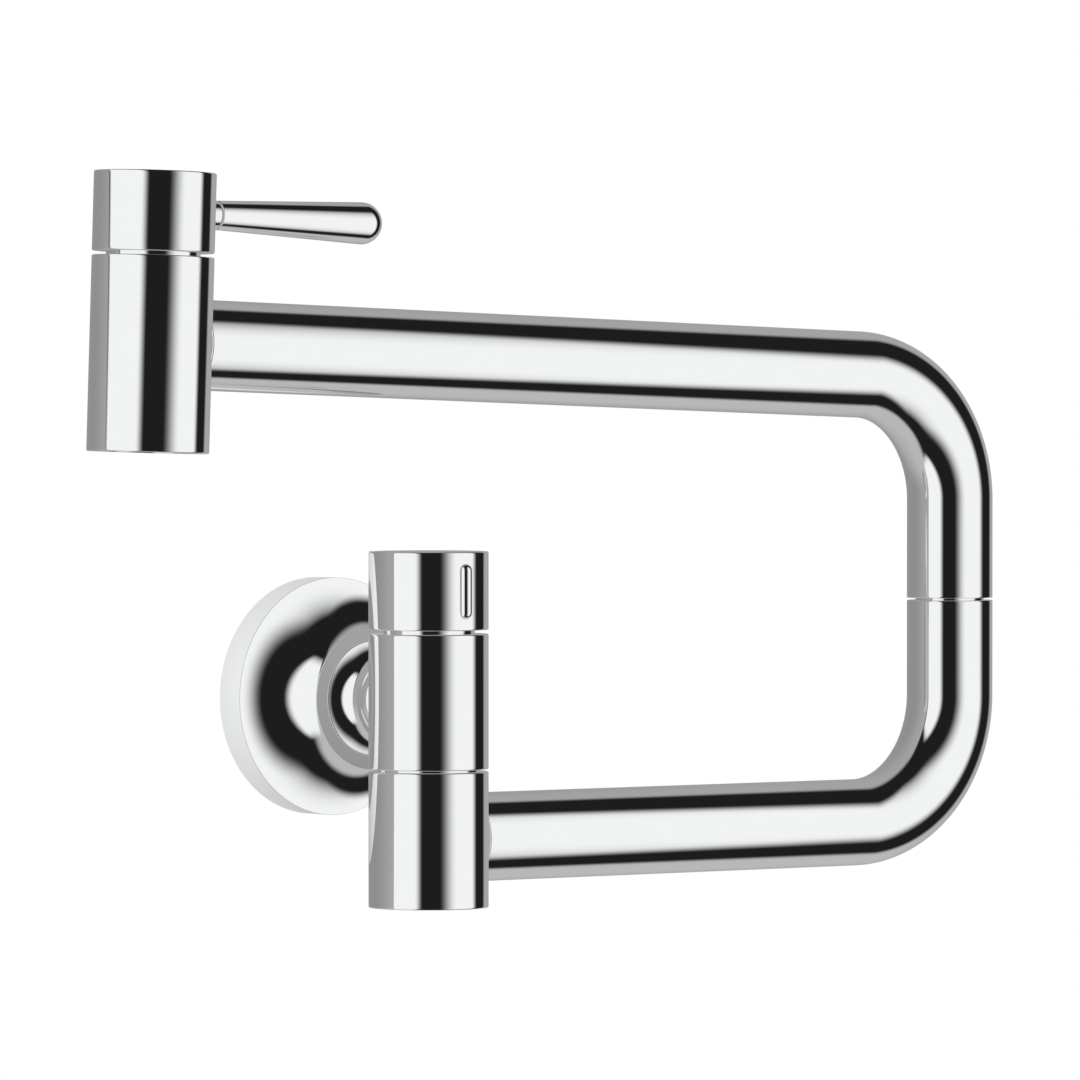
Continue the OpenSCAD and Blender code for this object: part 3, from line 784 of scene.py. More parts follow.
@dataclass
class ValveBody:
    """The valve body: an upright drum with the hub and neck that reach to the wall."""

    spot: Spot
    inlet: Spot
    radius: float = COLUMN_R
    below: float = 20.0
    above: float = COLUMN_ABOVE
    pocket: CartridgePocket = CartridgePocket()
    hub_r: float = 14.5
    hub_mouth: float = 3.0
    hub_step: float = 1.5
    face_r: float = 16.8
    neck_r: float = 11.0
    neck_fillet: float = 8.2
    neck_steps: int = 40
    neck_lap: float = 1.0
    nipple_hole_r: float = 10.4
    nipple_hole: float = 18.0

    def drum(self) -> Shell:
        """A drum with the cartridge's stepped pocket in its top."""
        corners = [(0, -self.below, 0), (self.radius, -self.below, EDGE), (self.radius, self.above, EDGE)]
        return self.spot.shell(solid([*corners, *self.pocket.corners(self.above)]))

    def hub(self) -> Shell:
        """A hub whose face runs by one fillet into the neck, which ends in the drum.

        Returns:
            The hub and the neck in the row frame.
        """
        front = flange_front()
        centre_r = self.neck_r + self.neck_fillet
        first = math.acos((centre_r - self.face_r) / self.neck_fillet)
        centre = (centre_r, front + self.neck_fillet * math.sin(first))
        fillet = arc_points(centre, self.neck_fillet, 180 + math.degrees(first), 180, self.neck_steps)
        drum_axis = -self.spot.origin[1]
        neck_end = drum_axis - math.sqrt(self.radius**2 - self.neck_r**2) + self.neck_lap
        e = SMALL_EDGE
        corners = [
            (0, self.nipple_hole, 0),
            (self.nipple_hole_r, self.nipple_hole, e),
            (self.nipple_hole_r, self.hub_mouth, e),
            (self.hub_r, self.hub_mouth, e),
            (self.hub_r, front - self.hub_step, e),
            (self.face_r, front - self.hub_step, e),
            *fillet,
            (self.neck_r, centre[1] + HOLD, 0),
            (self.neck_r, neck_end, 0),
            (0, neck_end, 0),
        ]
        return self.inlet.shell(solid(corners))

    def build(self) -> None:
        """Makes the drum and the hub as one piece."""
        make_piece("valve_body_shell", "valve_body", Body.WALL, joined(self.drum(), self.hub()))


@dataclass
class Knob:
    """A hollow knob with a hub for the spindle."""

    name: str
    node: str
    spot: Spot
    body: Body
    low: float
    radius: float = COLUMN_R
    height: float = 22.8
    wall: float = 3.4
    roof: float = 3.0
    hub_r: float = 7.0
    hub_low: float = 3.4
    bore_r: float = 4.02
    bore_top: float = 18.82
    screw_hole_r: float = 2.02
    screw_hole_sides: int = 48

    def cutter(self) -> Shell:
        """A bar from the knob's axis out through its back, for the clamp screw.

        Returns:
            The bar in the row frame.
        """
        x, y, up = self.spot.axes
        lying = Spot(self.spot.at(0, self.low + SCREW_UP), np.vstack([x, up, y]))
        r, end = self.screw_hole_r, self.radius + OVERSHOOT
        outline = np.array([(0, 0), (r, 0), (r, end), (0, end)], float)
        return lying.shell(lathe(outline, self.screw_hole_sides))

    def shell(self) -> Shell:
        """A cup with its mouth down, and the hub inside it.

        Returns:
            The knob in the row frame.
        """
        low, top = self.low, self.low + self.height
        inner = self.radius - self.wall
        e = SMALL_EDGE
        corners = [
            (0, low + self.bore_top, 0),
            (self.bore_r, low + self.bore_top, e),
            (self.bore_r, low + self.hub_low, e),
            (self.hub_r, low + self.hub_low, e),
            (self.hub_r, top - self.roof, e),
            (inner, top - self.roof, e),
            (inner, low, e),
            (self.radius, low, EDGE),
            (self.radius, top, EDGE),
            (0, top, 0),
        ]
        return self.spot.shell(solid(corners))

    def build(self) -> None:
        """Makes the knob and drills its screw hole."""
        drill(make_piece(self.name, self.node, self.body, self.shell()), self.cutter())


@dataclass
class RetainingNut:
    """The slotted ring that holds a cartridge down, seen in the gap under its knob."""

    name: str
    node: str
    spot: Spot
    body: Body
    seat: float
    radius: float = 13.5
    bore_r: float = 7.3
    sunk: float = 2.78
    proud: float = 2.5
    slot_w: float = 2.0
    slot_l: float = 2.5
    slot_deep: float = 0.8

    def shell(self) -> Shell:
        """A ring that stands from below the body's top to above it.

        Returns:
            The nut in the row frame, without its slots.
        """
        low, top = self.seat - self.sunk, self.seat + self.proud
        e = SMALL_EDGE
        corners = [
            (self.bore_r, (low + top) / 2, 0),
            (self.bore_r, low, e),
            (self.radius, low, e),
            (self.radius, top, e),
            (self.bore_r, top, e),
        ]
        return self.spot.shell(hollow(corners))

    def slots(self) -> Shell:
        """Four slabs across the top's outer edge, a quarter turn apart.

        Returns:
            The slabs in the row frame.
        """
        top = self.seat + self.proud
        half = self.slot_w / 2
        low = (self.radius - self.slot_l, -half, top - self.slot_deep)
        one = slab(low, (self.radius + OVERSHOOT, half, top + OVERSHOOT))
        x, y, up = self.spot.axes
        turned = [(x, y), (y, -x), (-x, -y), (-y, x)]
        return joined(*(Spot(self.spot.origin, np.vstack([a, b, up])).shell(one) for a, b in turned))

    def build(self) -> None:
        """Makes the nut and cuts its slots."""
        drill(make_piece(self.name, self.node, self.body, self.shell()), self.slots())


@dataclass
class MarkerBar:
    """The round-ended bar sunk upright in the front of the shut-off knob."""

    end_steps: int = 24

    def shell(self) -> Shell:
        """A capsule: half circles of its own radius close a straight bar at both ends.

        Returns:
            The bar in the row frame.
        """
        (low_x, high_x), (low_y, high_y), (low_z, high_z) = (span("shutoff_marker", i) for i in range(3))
        radius = (high_x - low_x) / 2
        bottom = arc_points((0, low_z + radius), radius, -90, 0, self.end_steps)
        top = arc_points((0, high_z - radius), radius, 0, 90, self.end_steps)
        corners = [*bottom, (radius, low_z + radius + HOLD, 0), (radius, high_z - radius - HOLD, 0), *top]
        centre = level_spot((low_x + high_x) / 2, (low_y + high_y) / 2)
        return centre.shell(solid(corners, SMALL_SIDES))

    def build(self) -> None:
        """Makes the bar."""
        make_piece("shutoff_marker_bar", "shutoff_marker", Body.SHUTOFF, self.shell())


@dataclass
class SwivelHousing:
    """The housing that turns on the column's stem and carries the lower arm."""

    spot: Spot
    radius: float = COLUMN_R
    bore_r: float = 12.05
    bore_start: float = 8.0
    counter_r: float = 14.0
    counter_depth: float = 5.0

    def shell(self) -> Shell:
        """A drum with a through bore, wider at the bottom.

        Returns:
            The housing in the row frame.
        """
        low, high = span("swivel_housing", 2)
        e = SMALL_EDGE
        corners = [
            (self.bore_r, high - self.bore_start, 0),
            (self.bore_r, low + self.counter_depth, e),
            (self.counter_r, low + self.counter_depth, e),
            (self.counter_r, low, e),
            (self.radius, low, EDGE),
            (self.radius, high, EDGE),
            (self.bore_r, high, e),
        ]
        return self.spot.shell(hollow(corners))

    def build(self) -> None:
        """Makes the housing."""
        make_piece("swivel_housing_drum", "swivel_housing", Body.LOWER_ARM, self.shell())


@dataclass
class ArmTube:
    """A tube that runs straight, bends once and runs straight again.

    near_bend is how far from the bend's ends two rings on each straight lie.
    """

    name: str
    node: str
    body: Body
    start: np.ndarray
    corner: np.ndarray
    end: np.ndarray
    radius: float = TUBE_R
    wall: float = 1.5
    bend_r: float = 38.0
    bend_steps: int = 80
    near_bend: tuple[float, float] = (0.5, 2.0)

    def centreline(self) -> tuple[np.ndarray, np.ndarray]:
        """Points and directions along the tube.

        The bend starts and ends t = R tan(f / 2) from the corner, where f is the turn,
        and its point at share u is start + R (sin(u f) a + (1 - cos(u f)) n).

        Returns:
            Two arrays of a row a ring.
        """
        way_in = self.corner - self.start
        way_out = self.end - self.corner
        a = way_in / np.linalg.norm(way_in)
        b = way_out / np.linalg.norm(way_out)
        turn = math.acos(float(a @ b))
        reach = self.bend_r * math.tan(turn / 2)
        n = (b - a * (a @ b)) / math.sin(turn)
        u = np.linspace(0, turn, self.bend_steps + 1)[:, None]
        first = self.corner - a * reach
        arc = first + self.bend_r * (np.sin(u) * a + (1 - np.cos(u)) * n)
        arc_way = np.cos(u) * a + np.sin(u) * n
        last = self.corner + b * reach
        rim = np.array([0, SMALL_EDGE, SMALL_EDGE + HOLD])[:, None]
        near = np.array(self.near_bend)[:, None]
        points = np.vstack(
            [self.start + rim * a, first - a * near[::-1], arc, last + b * near, self.end - rim[::-1] * b]
        )
        straight = (len(rim) + len(near), 1)
        ways = np.vstack([np.tile(a, straight), arc_way, np.tile(b, straight)])
        return points, ways

    def shell(self) -> Shell:
        """Outer and inner wall as one closed grid.

        The ring's point at angle t is centre + r (cos t n + sin t y), where y is square
        to the arm's plane and n is y x direction. The rings run out along the outer wall
        and back along the inner one, and the rims lie between them.

        Returns:
            The shell in the row frame.
        """
        points, ways = self.centreline()
        side = np.array([0.0, 1.0, 0.0])
        normals = np.cross(side, ways)
        outer = np.full(len(points), self.radius)
        outer[[0, -1]] -= SMALL_EDGE
        inner = np.full(len(points), self.radius - self.wall)
        centres = np.vstack([points, points[::-1]])
        ring_normals = np.vstack([normals, normals[::-1]])
        radii = np.concatenate([outer, inner])
        t = np.linspace(0, 2 * np.pi, ROUND_SIDES, endpoint=False)
        offset = np.cos(t)[None, :, None] * ring_normals[:, None] + np.sin(t)[None, :, None] * side
        return grid_shell(centres[:, None] + radii[:, None, None] * offset)

    def build(self) -> None:
        """Makes the tube."""
        make_piece(self.name, self.node, self.body, self.shell())


@dataclass
class OutletBody:
    """The outlet head: a drum with a cartridge pocket above and the aerator's below."""

    spot: Spot
    radius: float = COLUMN_R
    above: float = HEAD_ABOVE
    below: float = 31.2
    pocket: CartridgePocket = CartridgePocket()
    aerator_hole_r: float = 12.02
    aerator_hole: float = 12.0

    def shell(self) -> Shell:
        """A drum with a blind pocket at each end.

        Returns:
            The head in the row frame.
        """
        low, high = -self.below, self.above
        corners = [
            (0, low + self.aerator_hole, 0),
            (self.aerator_hole_r, low + self.aerator_hole, SMALL_EDGE),
            (self.aerator_hole_r, low, SMALL_EDGE),
            (self.radius, low, EDGE),
            (self.radius, high, EDGE),
            *self.pocket.corners(high),
        ]
        return self.spot.shell(solid(corners))

    def build(self) -> None:
        """Makes the head."""
        make_piece("outlet_body_drum", "outlet_body", Body.UPPER_ARM, self.shell())


@dataclass
class Lever:
    """The lever: a stub out of the knob, a narrow groove and a tapered handle."""

    spot: Spot
    height: float
    neck_r: float = 3.0
    collar_r: float = 4.1
    groove: float = 0.6
    inner: float = 9.0
    start: float = 21.7
    plug: float = 6.0
    root_r: float = 4.2
    root_edge: float = 0.2
    tip_r: float = 6.1
    tip_steps: int = 40
    reach: float = 80.0
    handle_sides: int = 128

    def lying(self) -> Spot:
        """The lever's own place: its Z runs out along the head's X."""
        x, y, up = self.spot.axes
        return Spot(self.spot.at(0, self.height), np.vstack([up, -y, x]))

    def neck(self) -> Shell:
        """The stub, with the thin pin that joins it to the handle.

        Returns:
            The stub in the row frame.
        """
        end, pin_end = self.start - self.groove, self.start + self.plug
        corners = [
            (0, self.inner, 0),
            (self.collar_r, self.inner, SMALL_EDGE),
            (self.collar_r, end, SMALL_EDGE),
            (self.neck_r, end, SMALL_EDGE),
            (self.neck_r, pin_end, SMALL_EDGE),
            (0, pin_end, 0),
        ]
        return self.lying().shell(solid(corners, SMALL_SIDES))

    def handle(self) -> Shell:
        """A cone that runs into a ball, and meets it where the ball's slope is its own.

        The cone's half angle g has tan g = (tip - root) / length, and the ball's arc
        starts g below its widest ring, so the two are nearly tangent.

        Returns:
            The handle in the row frame.
        """
        ball = self.reach - self.tip_r
        slope = math.atan2(self.tip_r - self.root_r, ball - self.start)
        arc = arc_points((0, ball), self.tip_r, -math.degrees(slope), 90, self.tip_steps)
        first_r, first_h = arc[0][:2]
        way = np.array([first_r - self.root_r, first_h - self.start])
        way = way / np.linalg.norm(way)
        hold = (first_r - way[0] * HOLD, first_h - way[1] * HOLD, 0)
        corners = [(0, self.start, 0), (self.root_r, self.start, self.root_edge), hold, *arc]
        return self.lying().shell(solid(corners, self.handle_sides))

    def build(self) -> None:
        """Makes the stub and the handle."""
        make_piece("lever_stub", "lever_neck", Body.LEVER, self.neck())
        make_piece("lever_bar", "lever_handle", Body.LEVER, self.handle())


@dataclass
class CadPieces:
    """The CAD nodes whose shape stays: each is dressed, and the seen ones are smoothed."""

    frame: dict
    smoothed: tuple[str, ...] = (
        "swivel_slide_ring",
        "elbow_slide_ring",
        "housing_cap",
        "flange_seal",
        "nipple_seal",
        "swivel_stem",
        "elbow_socket",
        "elbow_spigot",
        "shutoff_knob_screw",
        "outlet_knob_screw",
        "aerator_housing",
        "aerator_insert",
    )
    merge: float = 0.002
    crease: float = 30.0

    def slots(self) -> dict[str, str]:
        """Material slot of every node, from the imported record."""
        return {s["node"]: s["material_slot"] for s in self.frame["record"]["subparts"]}

    def bodies(self) -> dict[str, str]:
        """Body of every node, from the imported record."""
        groups = self.frame["record"]["behaviour"]["bodies"]
        return {node: body for body, nodes in groups.items() for node in nodes}

    def smooth(self, node: str, slot: str, body: str) -> None:
        """Shows a merged and smooth-shaded copy of a node in its place.

        Args:
            node: the CAD node.
            slot: its material slot.
            body: the body that it moves with.
        """
        mesh = self.frame["nodes"][node].data.copy()
        mesh.name = f"{node}_smooth"
        work = bmesh.new()
        work.from_mesh(mesh)
        bmesh.ops.remove_doubles(work, verts=work.verts, dist=self.merge * MM)
        work.to_mesh(mesh)
        work.free()
        mesh.materials.clear()
        piece = bpy.data.objects.new(f"{node}_smooth", mesh)
        bpy.context.scene.collection.objects.link(piece)
        dress(piece, node, body, FINISHES[slot])
        mesh.set_sharp_from_angle(angle=math.radians(self.crease))

    def build(self) -> None:
        """Dresses every node, and smooths those that can be seen."""
        bodies = self.bodies()
        for node, slot in self.slots().items():
            mesh = self.frame["nodes"][node].data
            mesh.materials.clear()
            mesh.materials.append(FINISHES[slot].material())
            if node in self.smoothed:
                self.smooth(node, slot, bodies[node])


def glow(made: bpy.types.Material, level: bpy.types.NodeSocket) -> bpy.types.Material:
    """Gives a material of the studio its brightness, without making it a lamp.

    Args:
        made: the material, whose tree has no shader yet.
        level: what feeds its brightness.

    Returns:
        The same material.
    """
    shader = add_node(made.node_tree, "ShaderNodeEmission", {}, {"Strength": level})
    add_node(made.node_tree, "ShaderNodeOutputMaterial", {}, {"Surface": shader.outputs[0]})
    made.cycles.emission_sampling = "NONE"
    return made


class Edge(Enum):
    """How a light panel's edge is, by the width of its fade in degrees."""

    CRISP = 2.0
    SOFT = 14.0
    FEATHERED = 33.0


@dataclass(frozen=True)
class SoftBox:
    """A tall light panel that stands round the object.

    left and right are where it has half its brightness, in degrees from the front of the
    wall towards the lower arm's end. facing is the direction of its middle. fade is where
    it starts and ends to fade above and below, as height over distance, and nearest the
    least distance for that. The right edge draws in by waist degrees for each squared
    degree of elevation.
    """

    left: float
    left_edge: Edge
    right: float
    right_edge: Edge
    facing: float
    fade: tuple[float, float]
    waist: float = 0.0
    nearest: float = 0.05

    def steps(self, brightness: float) -> list[tuple]:
        """The arithmetic that lays the panel over the tent's level.

        Its share is step(azimuth, left) (1 - step(azimuth, right)) (1 - step(h, fade)),
        where h = |z| / (direction . facing).

        Args:
            brightness: the panel's own level.

        Returns:
            The steps, which take x, z, front, azimuth, above and level, and renew level.
        """
        half_left, half_right = self.left_edge.value / 2, self.right_edge.value / 2
        facing = math.radians(self.facing)
        return [
            ("lit", "SMOOTHSTEP", "azimuth", self.left - half_left, self.left + half_left),
            ("drawn", "MULTIPLY", "above", "above"),
            ("drawn", "MULTIPLY", "drawn", self.waist),
            ("drawn", "ADD", "azimuth", "drawn"),
            ("unlit", "SMOOTHSTEP", "drawn", self.right - half_right, self.right + half_right),
            ("across", "MULTIPLY", "x", math.sin(facing)),
            ("ahead", "MULTIPLY", "front", math.cos(facing)),
            ("toward", "ADD", "across", "ahead"),
            ("toward", "MAXIMUM", "toward", self.nearest),
            ("height", "ABSOLUTE", "z"),
            ("height", "DIVIDE", "height", "toward"),
            ("gone", "SMOOTHSTEP", "height", *self.fade),
            ("beside", "SUBTRACT", 1.0, "unlit"),
            ("level_with", "SUBTRACT", 1.0, "gone"),
            ("share", "MULTIPLY", "lit", "beside"),
            ("share", "MULTIPLY", "share", "level_with"),
            ("rest", "SUBTRACT", 1.0, "share"),
            ("rest", "MULTIPLY", "level", "rest"),
            ("panel", "MULTIPLY", "share", brightness),
            ("level", "ADD", "rest", "panel"),
        ]


@dataclass(frozen=True)
class Tent:
    """A ball round the object that only reflections see, drawn in on its left.

    near_at, near_spread and near_share are the azimuth, width and radius share of that
    part. room_turn is where the room changes from room_dark to room_light, as the
    direction's Y, and floor_turn where its floor_light comes in, in degrees below level.
    wall_plane is where the black flag ends and the room starts, on Y - wall_lean Z.
    """

    radius: float = 900.0
    rows: int = 65
    sides: int = 128
    near_at: float = -95.0
    near_spread: float = 22.0
    near_share: float = 0.28
    flag: float = 0.015
    panel_level: float = 1.09
    room_dark: float = 0.31
    room_light: float = 0.42
    room_turn: tuple[float, float] = (1.0, 0.3)
    floor_light: float = 0.14
    floor_turn: tuple[float, float] = (5.0, 40.0)
    wall_plane: tuple[float, float] = (-0.07, 0.11)
    wall_lean: float = 0.1
    boxes: tuple[SoftBox, ...] = (
        SoftBox(-93.4, Edge.CRISP, -53.5, Edge.SOFT, -81.0, (1.0, 2.0), 0.005),
        SoftBox(1.0, Edge.FEATHERED, 57.0, Edge.SOFT, 20.0, (0.33, 1.85), 0.003),
    )

    def ground(self) -> list[tuple]:
        """The arithmetic of what no box covers: a black flag, and the dim room behind it.

        Returns:
            The steps, which take x, y and z, and give front, azimuth, above and level.
        """
        return [
            ("front", "MULTIPLY", "y", -1.0),
            ("azimuth", "ARCTAN2", "x", "front"),
            ("azimuth", "DEGREES", "azimuth"),
            ("above", "ARCSINE", "z"),
            ("above", "DEGREES", "above"),
            ("below", "MULTIPLY", "above", -1.0),
            ("room", "SMOOTHSTEP", "y", *self.room_turn),
            ("room", "MULTIPLY", "room", self.room_light - self.room_dark),
            ("room", "ADD", "room", self.room_dark),
            ("low", "SMOOTHSTEP", "below", *self.floor_turn),
            ("low", "MULTIPLY", "low", self.floor_light),
            ("room", "ADD", "room", "low"),
            ("behind", "MULTIPLY", "z", self.wall_lean),
            ("behind", "SUBTRACT", "y", "behind"),
            ("behind", "SMOOTHSTEP", "behind", *self.wall_plane),
            ("level", "MULTIPLY", "behind", "room"),
            ("level", "ADD", self.flag, "level"),
        ]

    def material(self) -> bpy.types.Material:
        """Brightness of the tent by direction.

        Returns:
            The tent's material.
        """
        made = bare_material("studio_tent")
        tree = made.node_tree
        place = add_node(tree, "ShaderNodeTexCoord").outputs["Object"]
        unit = add_node(tree, "ShaderNodeVectorMath", {"operation": "NORMALIZE"}, {0: place})
        parts = add_node(tree, "ShaderNodeSeparateXYZ", {}, {0: unit.outputs["Vector"]}).outputs
        known = {"x": parts["X"], "y": parts["Y"], "z": parts["Z"]}
        wire(tree, known, self.ground())
        for box in self.boxes:
            wire(tree, known, box.steps(self.panel_level))
        return glow(made, known["level"])

    def shell(self) -> Shell:
        """A ball of radius R (1 - (1 - near_share) exp(-((a - near_at) / near_spread)^2)).

        a is the azimuth. What is near seems to move more from one drum to the next.

        Returns:
            The tent about the row frame's origin.
        """
        t = np.radians(np.linspace(-90, 90, self.rows))
        profile = np.stack([np.cos(t), np.sin(t)], 1) * self.radius
        profile[[0, -1], 0] = 0
        ball = lathe(profile, self.sides)
        azimuth = np.degrees(np.arctan2(ball.points[:, 0], -ball.points[:, 1]))
        near = np.exp(-(((azimuth - self.near_at) / self.near_spread) ** 2))
        drawn_in = ball.points * (1 - (1 - self.near_share) * near)[:, None]
        return Shell(drawn_in, ball.quads, ball.triangles)


@dataclass(frozen=True)
class PaintedLightRing:
    """A thin glowing ring about the inlet's axis that only reflections see: painted light, not a lamp.

    near and far are its two faces' distances from the wall, or from the flange's front
    ring where on_ring is set. Its painted brightness at x, z in metres is the plain level,
    plus the left gradient times -x, plus the top gradient times z.
    """

    name: str
    inner: float
    outer: float
    near: float
    far: float
    plain: float
    painted_light_left: float
    painted_light_top: float
    on_ring: bool = False

    def shell(self) -> Shell:
        """A ring of four corners.

        Returns:
            The card about its own axis.
        """
        base = flange_front() if self.on_ring else 0.0
        near, far = base + self.near, base + self.far
        outline = [(self.inner, near), (self.outer, near), (self.outer, far), (self.inner, far)]
        return lathe(np.array(outline), SMALL_SIDES)

    def material(self) -> bpy.types.Material:
        """Painted light and shade of the ring by place: its glow, lighter and darker across it.

        Returns:
            The card's material.
        """
        made = bare_material(self.name)
        tree = made.node_tree
        place = add_node(tree, "ShaderNodeTexCoord").outputs["Object"]
        # Painted light and shade: the glow rises to the left and to the top
        ways = {0: place, 1: (-self.painted_light_left, 0.0, self.painted_light_top)}
        slope = add_node(tree, "ShaderNodeVectorMath", {"operation": "DOT_PRODUCT"}, ways)
        known = {"slope": slope.outputs["Value"]}
        wire(tree, known, [("level", "ADD", "slope", self.plain)])
        return glow(made, known["level"])


@dataclass(frozen=True)
class Lamp:
    """A square soft lamp that reflections don't show.

    place and size are in metres. tilt and turn, about the upright, are in degrees, and
    power is in watts.
    """

    name: str
    place: tuple[float, float, float]
    tilt: float
    turn: float
    power: float
    size: float = 1.6

    def build(self) -> None:
        """Hangs the lamp."""
        light = bpy.data.lights.new(self.name, "AREA")
        light.shape = "SQUARE"
        light.size = self.size
        light.energy = self.power
        lamp = bpy.data.objects.new(self.name, light)
        lamp.location = self.place
        lamp.rotation_euler = Euler((math.radians(self.tilt), 0, math.radians(self.turn)))
        lamp.visible_glossy = False
        bpy.context.scene.collection.objects.link(lamp)


@dataclass
class Studio:
    """Plain soft light, a pale floor, and what stands round the object for reflections.

    Two glowing rings paint light and shade into reflections. One paints the lit white wall, brighter to the
    left and top, into the flange's rim. One, just before the front ring, paints a dim grey reflection, a
    little lighter at the top, onto the ring's face.
    """

    inlet: Spot
    tent: Tent = Tent()
    painted_light_rings: tuple[PaintedLightRing, ...] = (
        # Painted light: a glowing ring just behind the wall's face round the rim, which paints the lit white
        # wall, brighter to the left and top, into the rim's reflection
        PaintedLightRing("painted_wall_light", 34.0, 50.0, -0.5, -1.0, 0.645, 8.6, 1.86),
        # Painted reflection and shade: a dim glowing ring just before the front ring's face, which paints
        # that face grey, a little lighter at the top
        PaintedLightRing("painted_ring_reflection", 16.9, 21.2, 0.15, 0.25, 0.40, 0.0, 2.0, on_ring=True),
    )
    floor_z: float = -320.0
    floor_radius: float = 1600.0
    floor_depth: float = 10.0
    floor_colour: str = "#F2F2F1"
    floor_grain: float = 400.0
    floor_rough: tuple[float, float] = (0.6, 0.75)
    white: float = 1.0
    ambient: float = 0.62
    lamps: tuple[Lamp, ...] = (
        Lamp("key_lamp", (-1.4, -1.8, 1.8), 50.0, -38.0, 22.0),
        Lamp("fill_lamp", (1.8, -1.2, 1.2), 55.0, 56.0, 9.0),
    )

    def reflections_of_studio(self) -> None:
        """Keeps the object's pieces out of each other's reflections.

        In the photograph the flange shows only the studio, and nothing of the column and
        the arms before it. Blender hides a piece from all reflections or from none.
        """
        for piece in bpy.context.scene.objects:
            piece.visible_glossy = False

    def reflected(self, name: str, shell: Shell, material: bpy.types.Material) -> None:
        """Stands a piece of the studio that every ray but reflections passes.

        Args:
            name: its name.
            shell: its surface, in millimetres.
            material: its material.
        """
        piece = shell_object(name, shell, material)
        piece.visible_camera = False
        piece.visible_diffuse = False
        piece.visible_shadow = False
        piece.visible_transmission = False
        piece.visible_volume_scatter = False

    def floor(self) -> None:
        """Lays a round pale floor under the object, out of the photograph's view."""
        made = bpy.data.materials.new("pale_floor_paint")
        made.use_nodes = True
        tree = made.node_tree
        shader = tree.nodes["Principled BSDF"]
        place = add_node(tree, "ShaderNodeTexCoord").outputs["Object"]
        grain = add_node(tree, "ShaderNodeTexNoise", {}, {"Vector": place, "Scale": self.floor_grain})
        low, high = self.floor_rough
        spread = {"Value": grain.outputs["Fac"], "To Min": low, "To Max": high}
        rough = add_node(tree, "ShaderNodeMapRange", {}, spread).outputs["Result"]
        tree.links.new(rough, shader.inputs["Roughness"])
        shader.inputs["Base Color"].default_value = linear(self.floor_colour)
        r, top, base = self.floor_radius, self.floor_z, self.floor_z - self.floor_depth
        outline = np.array([[0, top], [r, top], [r, base], [0, base]])
        floor = shell_object("studio_floor", lathe(outline, SMALL_SIDES), made)
        floor.visible_glossy = False

    def world(self) -> None:
        """White to the camera and to reflections that pass the tent, softer as light."""
        world = bpy.data.worlds.new("soft_white_room")
        bpy.context.scene.world = world
        world.use_nodes = True
        tree = world.node_tree
        tree.nodes.clear()
        rays = add_node(tree, "ShaderNodeLightPath").outputs
        known = {kind: rays[f"Is {kind} Ray"] for kind in ("Camera", "Glossy", "Transmission")}
        steps = [("seen", "MAXIMUM", "Camera", "Glossy"), ("seen", "MAXIMUM", "seen", "Transmission")]
        wire(tree, known, steps)
        levels = {"Value": known["seen"], "To Min": self.ambient, "To Max": self.white}
        strength = add_node(tree, "ShaderNodeMapRange", {}, levels).outputs["Result"]
        ground = add_node(tree, "ShaderNodeBackground", {}, {"Color": (1, 1, 1, 1), "Strength": strength})
        add_node(tree, "ShaderNodeOutputWorld", {}, {"Surface": ground.outputs[0]})

    def build(self) -> None:
        """Sets up the studio round the pieces that are there."""
        self.reflections_of_studio()
        self.reflected("studio_tent", self.tent.shell(), self.tent.material())
        # Glowing rings that paint light and shade into the flange's reflections
        for painted_ring in self.painted_light_rings:
            self.reflected(painted_ring.name, self.inlet.shell(painted_ring.shell()), painted_ring.material())
        self.floor()
        self.world()
        for lamp in self.lamps:
            lamp.build()


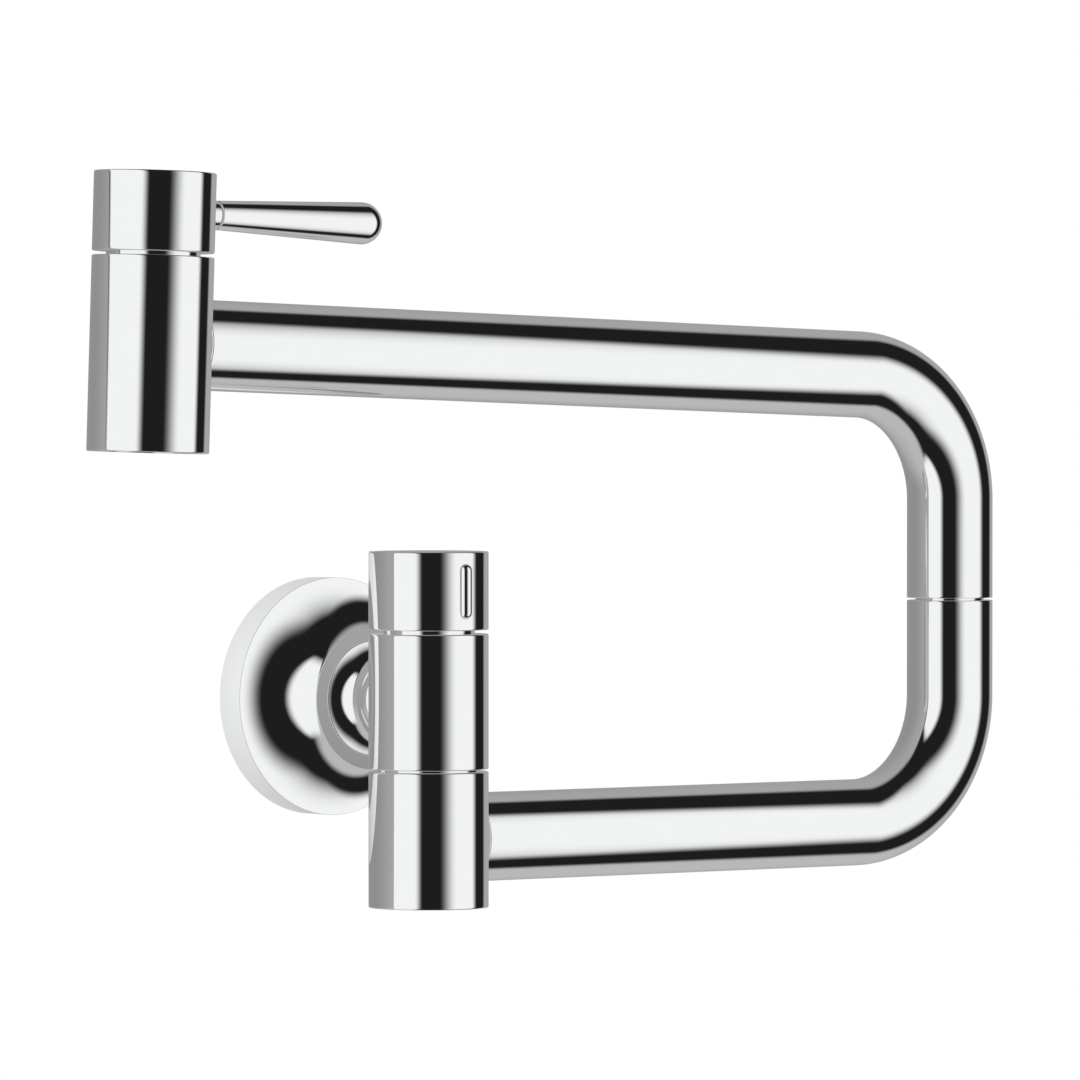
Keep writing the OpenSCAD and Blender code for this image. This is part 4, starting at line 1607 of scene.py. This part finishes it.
@dataclass(frozen=True)
class Viewpoint:
    """The photograph's camera. Sizes in pixels are for an image 1080 pixels wide."""

    place: tuple[float, float, float] = (-1.7232, -2.2910, 0.0985)
    turn_deg: float = 38.279
    down_deg: float = 1.051
    focal_px: float = 9696.0
    image_px: float = 1080.0
    sensor_mm: float = 36.0
    clip: tuple[float, float] = (0.1, 50.0)

    def build(self) -> None:
        """Makes the camera, which looks along +Y turned towards +X."""
        lens = bpy.data.cameras.new("photo_camera")
        lens.sensor_width = self.sensor_mm
        lens.lens = self.focal_px / self.image_px * self.sensor_mm
        lens.clip_start, lens.clip_end = self.clip
        camera = bpy.data.objects.new("photo_camera", lens)
        camera.location = self.place
        camera.rotation_euler = Euler((math.radians(90 - self.down_deg), 0, -math.radians(self.turn_deg)))
        bpy.context.scene.collection.objects.link(camera)
        bpy.context.scene.camera = camera


def main() -> None:
    """Builds the pot filler's pieces in order, then the studio and the camera."""
    logging.basicConfig(level=logging.INFO, format="%(name)s %(message)s")
    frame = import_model()
    bpy.context.scene.view_settings.view_transform = "Standard"
    layout = Layout(frame)
    column, elbow = layout.upright("base_swivel"), layout.upright("elbow_swivel")
    head, inlet = layout.head(), layout.inlet()

    lower_low, lower_top = span("lower_tube", 2)
    upper_low, _ = span("upper_tube", 2)
    lower_z = lower_low + TUBE_R
    upper_reach = (elbow.origin[0] - head.origin[0]) / head.axes[0][0]
    knob_low, _ = span("shutoff_knob", 2)
    head_knob_low = HEAD_ABOVE + KNOB_GAP

    WallFlange(inlet).build()
    InletNipple(inlet).build()
    ValveBody(column, inlet).build()
    Knob("shutoff_knob_cup", "shutoff_knob", column, Body.SHUTOFF, knob_low).build()
    RetainingNut("shutoff_nut", "shutoff_retaining_nut", column, Body.WALL, COLUMN_ABOVE).build()
    MarkerBar().build()
    SwivelHousing(column).build()
    ArmTube(
        "lower_arm_tube",
        "lower_tube",
        Body.LOWER_ARM,
        column.at(TUBE_FROM_COLUMN, lower_z),
        elbow.at(0, lower_z),
        elbow.at(0, lower_top),
    ).build()
    ArmTube(
        "upper_arm_tube",
        "upper_tube",
        Body.UPPER_ARM,
        elbow.at(0, upper_low),
        head.at(upper_reach),
        head.at(TUBE_FROM_HEAD),
    ).build()
    OutletBody(head).build()
    Knob("outlet_knob_cup", "outlet_knob", head, Body.LEVER, head_knob_low).build()
    RetainingNut("outlet_nut", "outlet_retaining_nut", head, Body.UPPER_ARM, HEAD_ABOVE).build()
    Lever(head, head_knob_low + SCREW_UP).build()
    CadPieces(frame).build()

    Studio(inlet).build()
    Viewpoint().build()


if __name__ == "__main__":
    main()
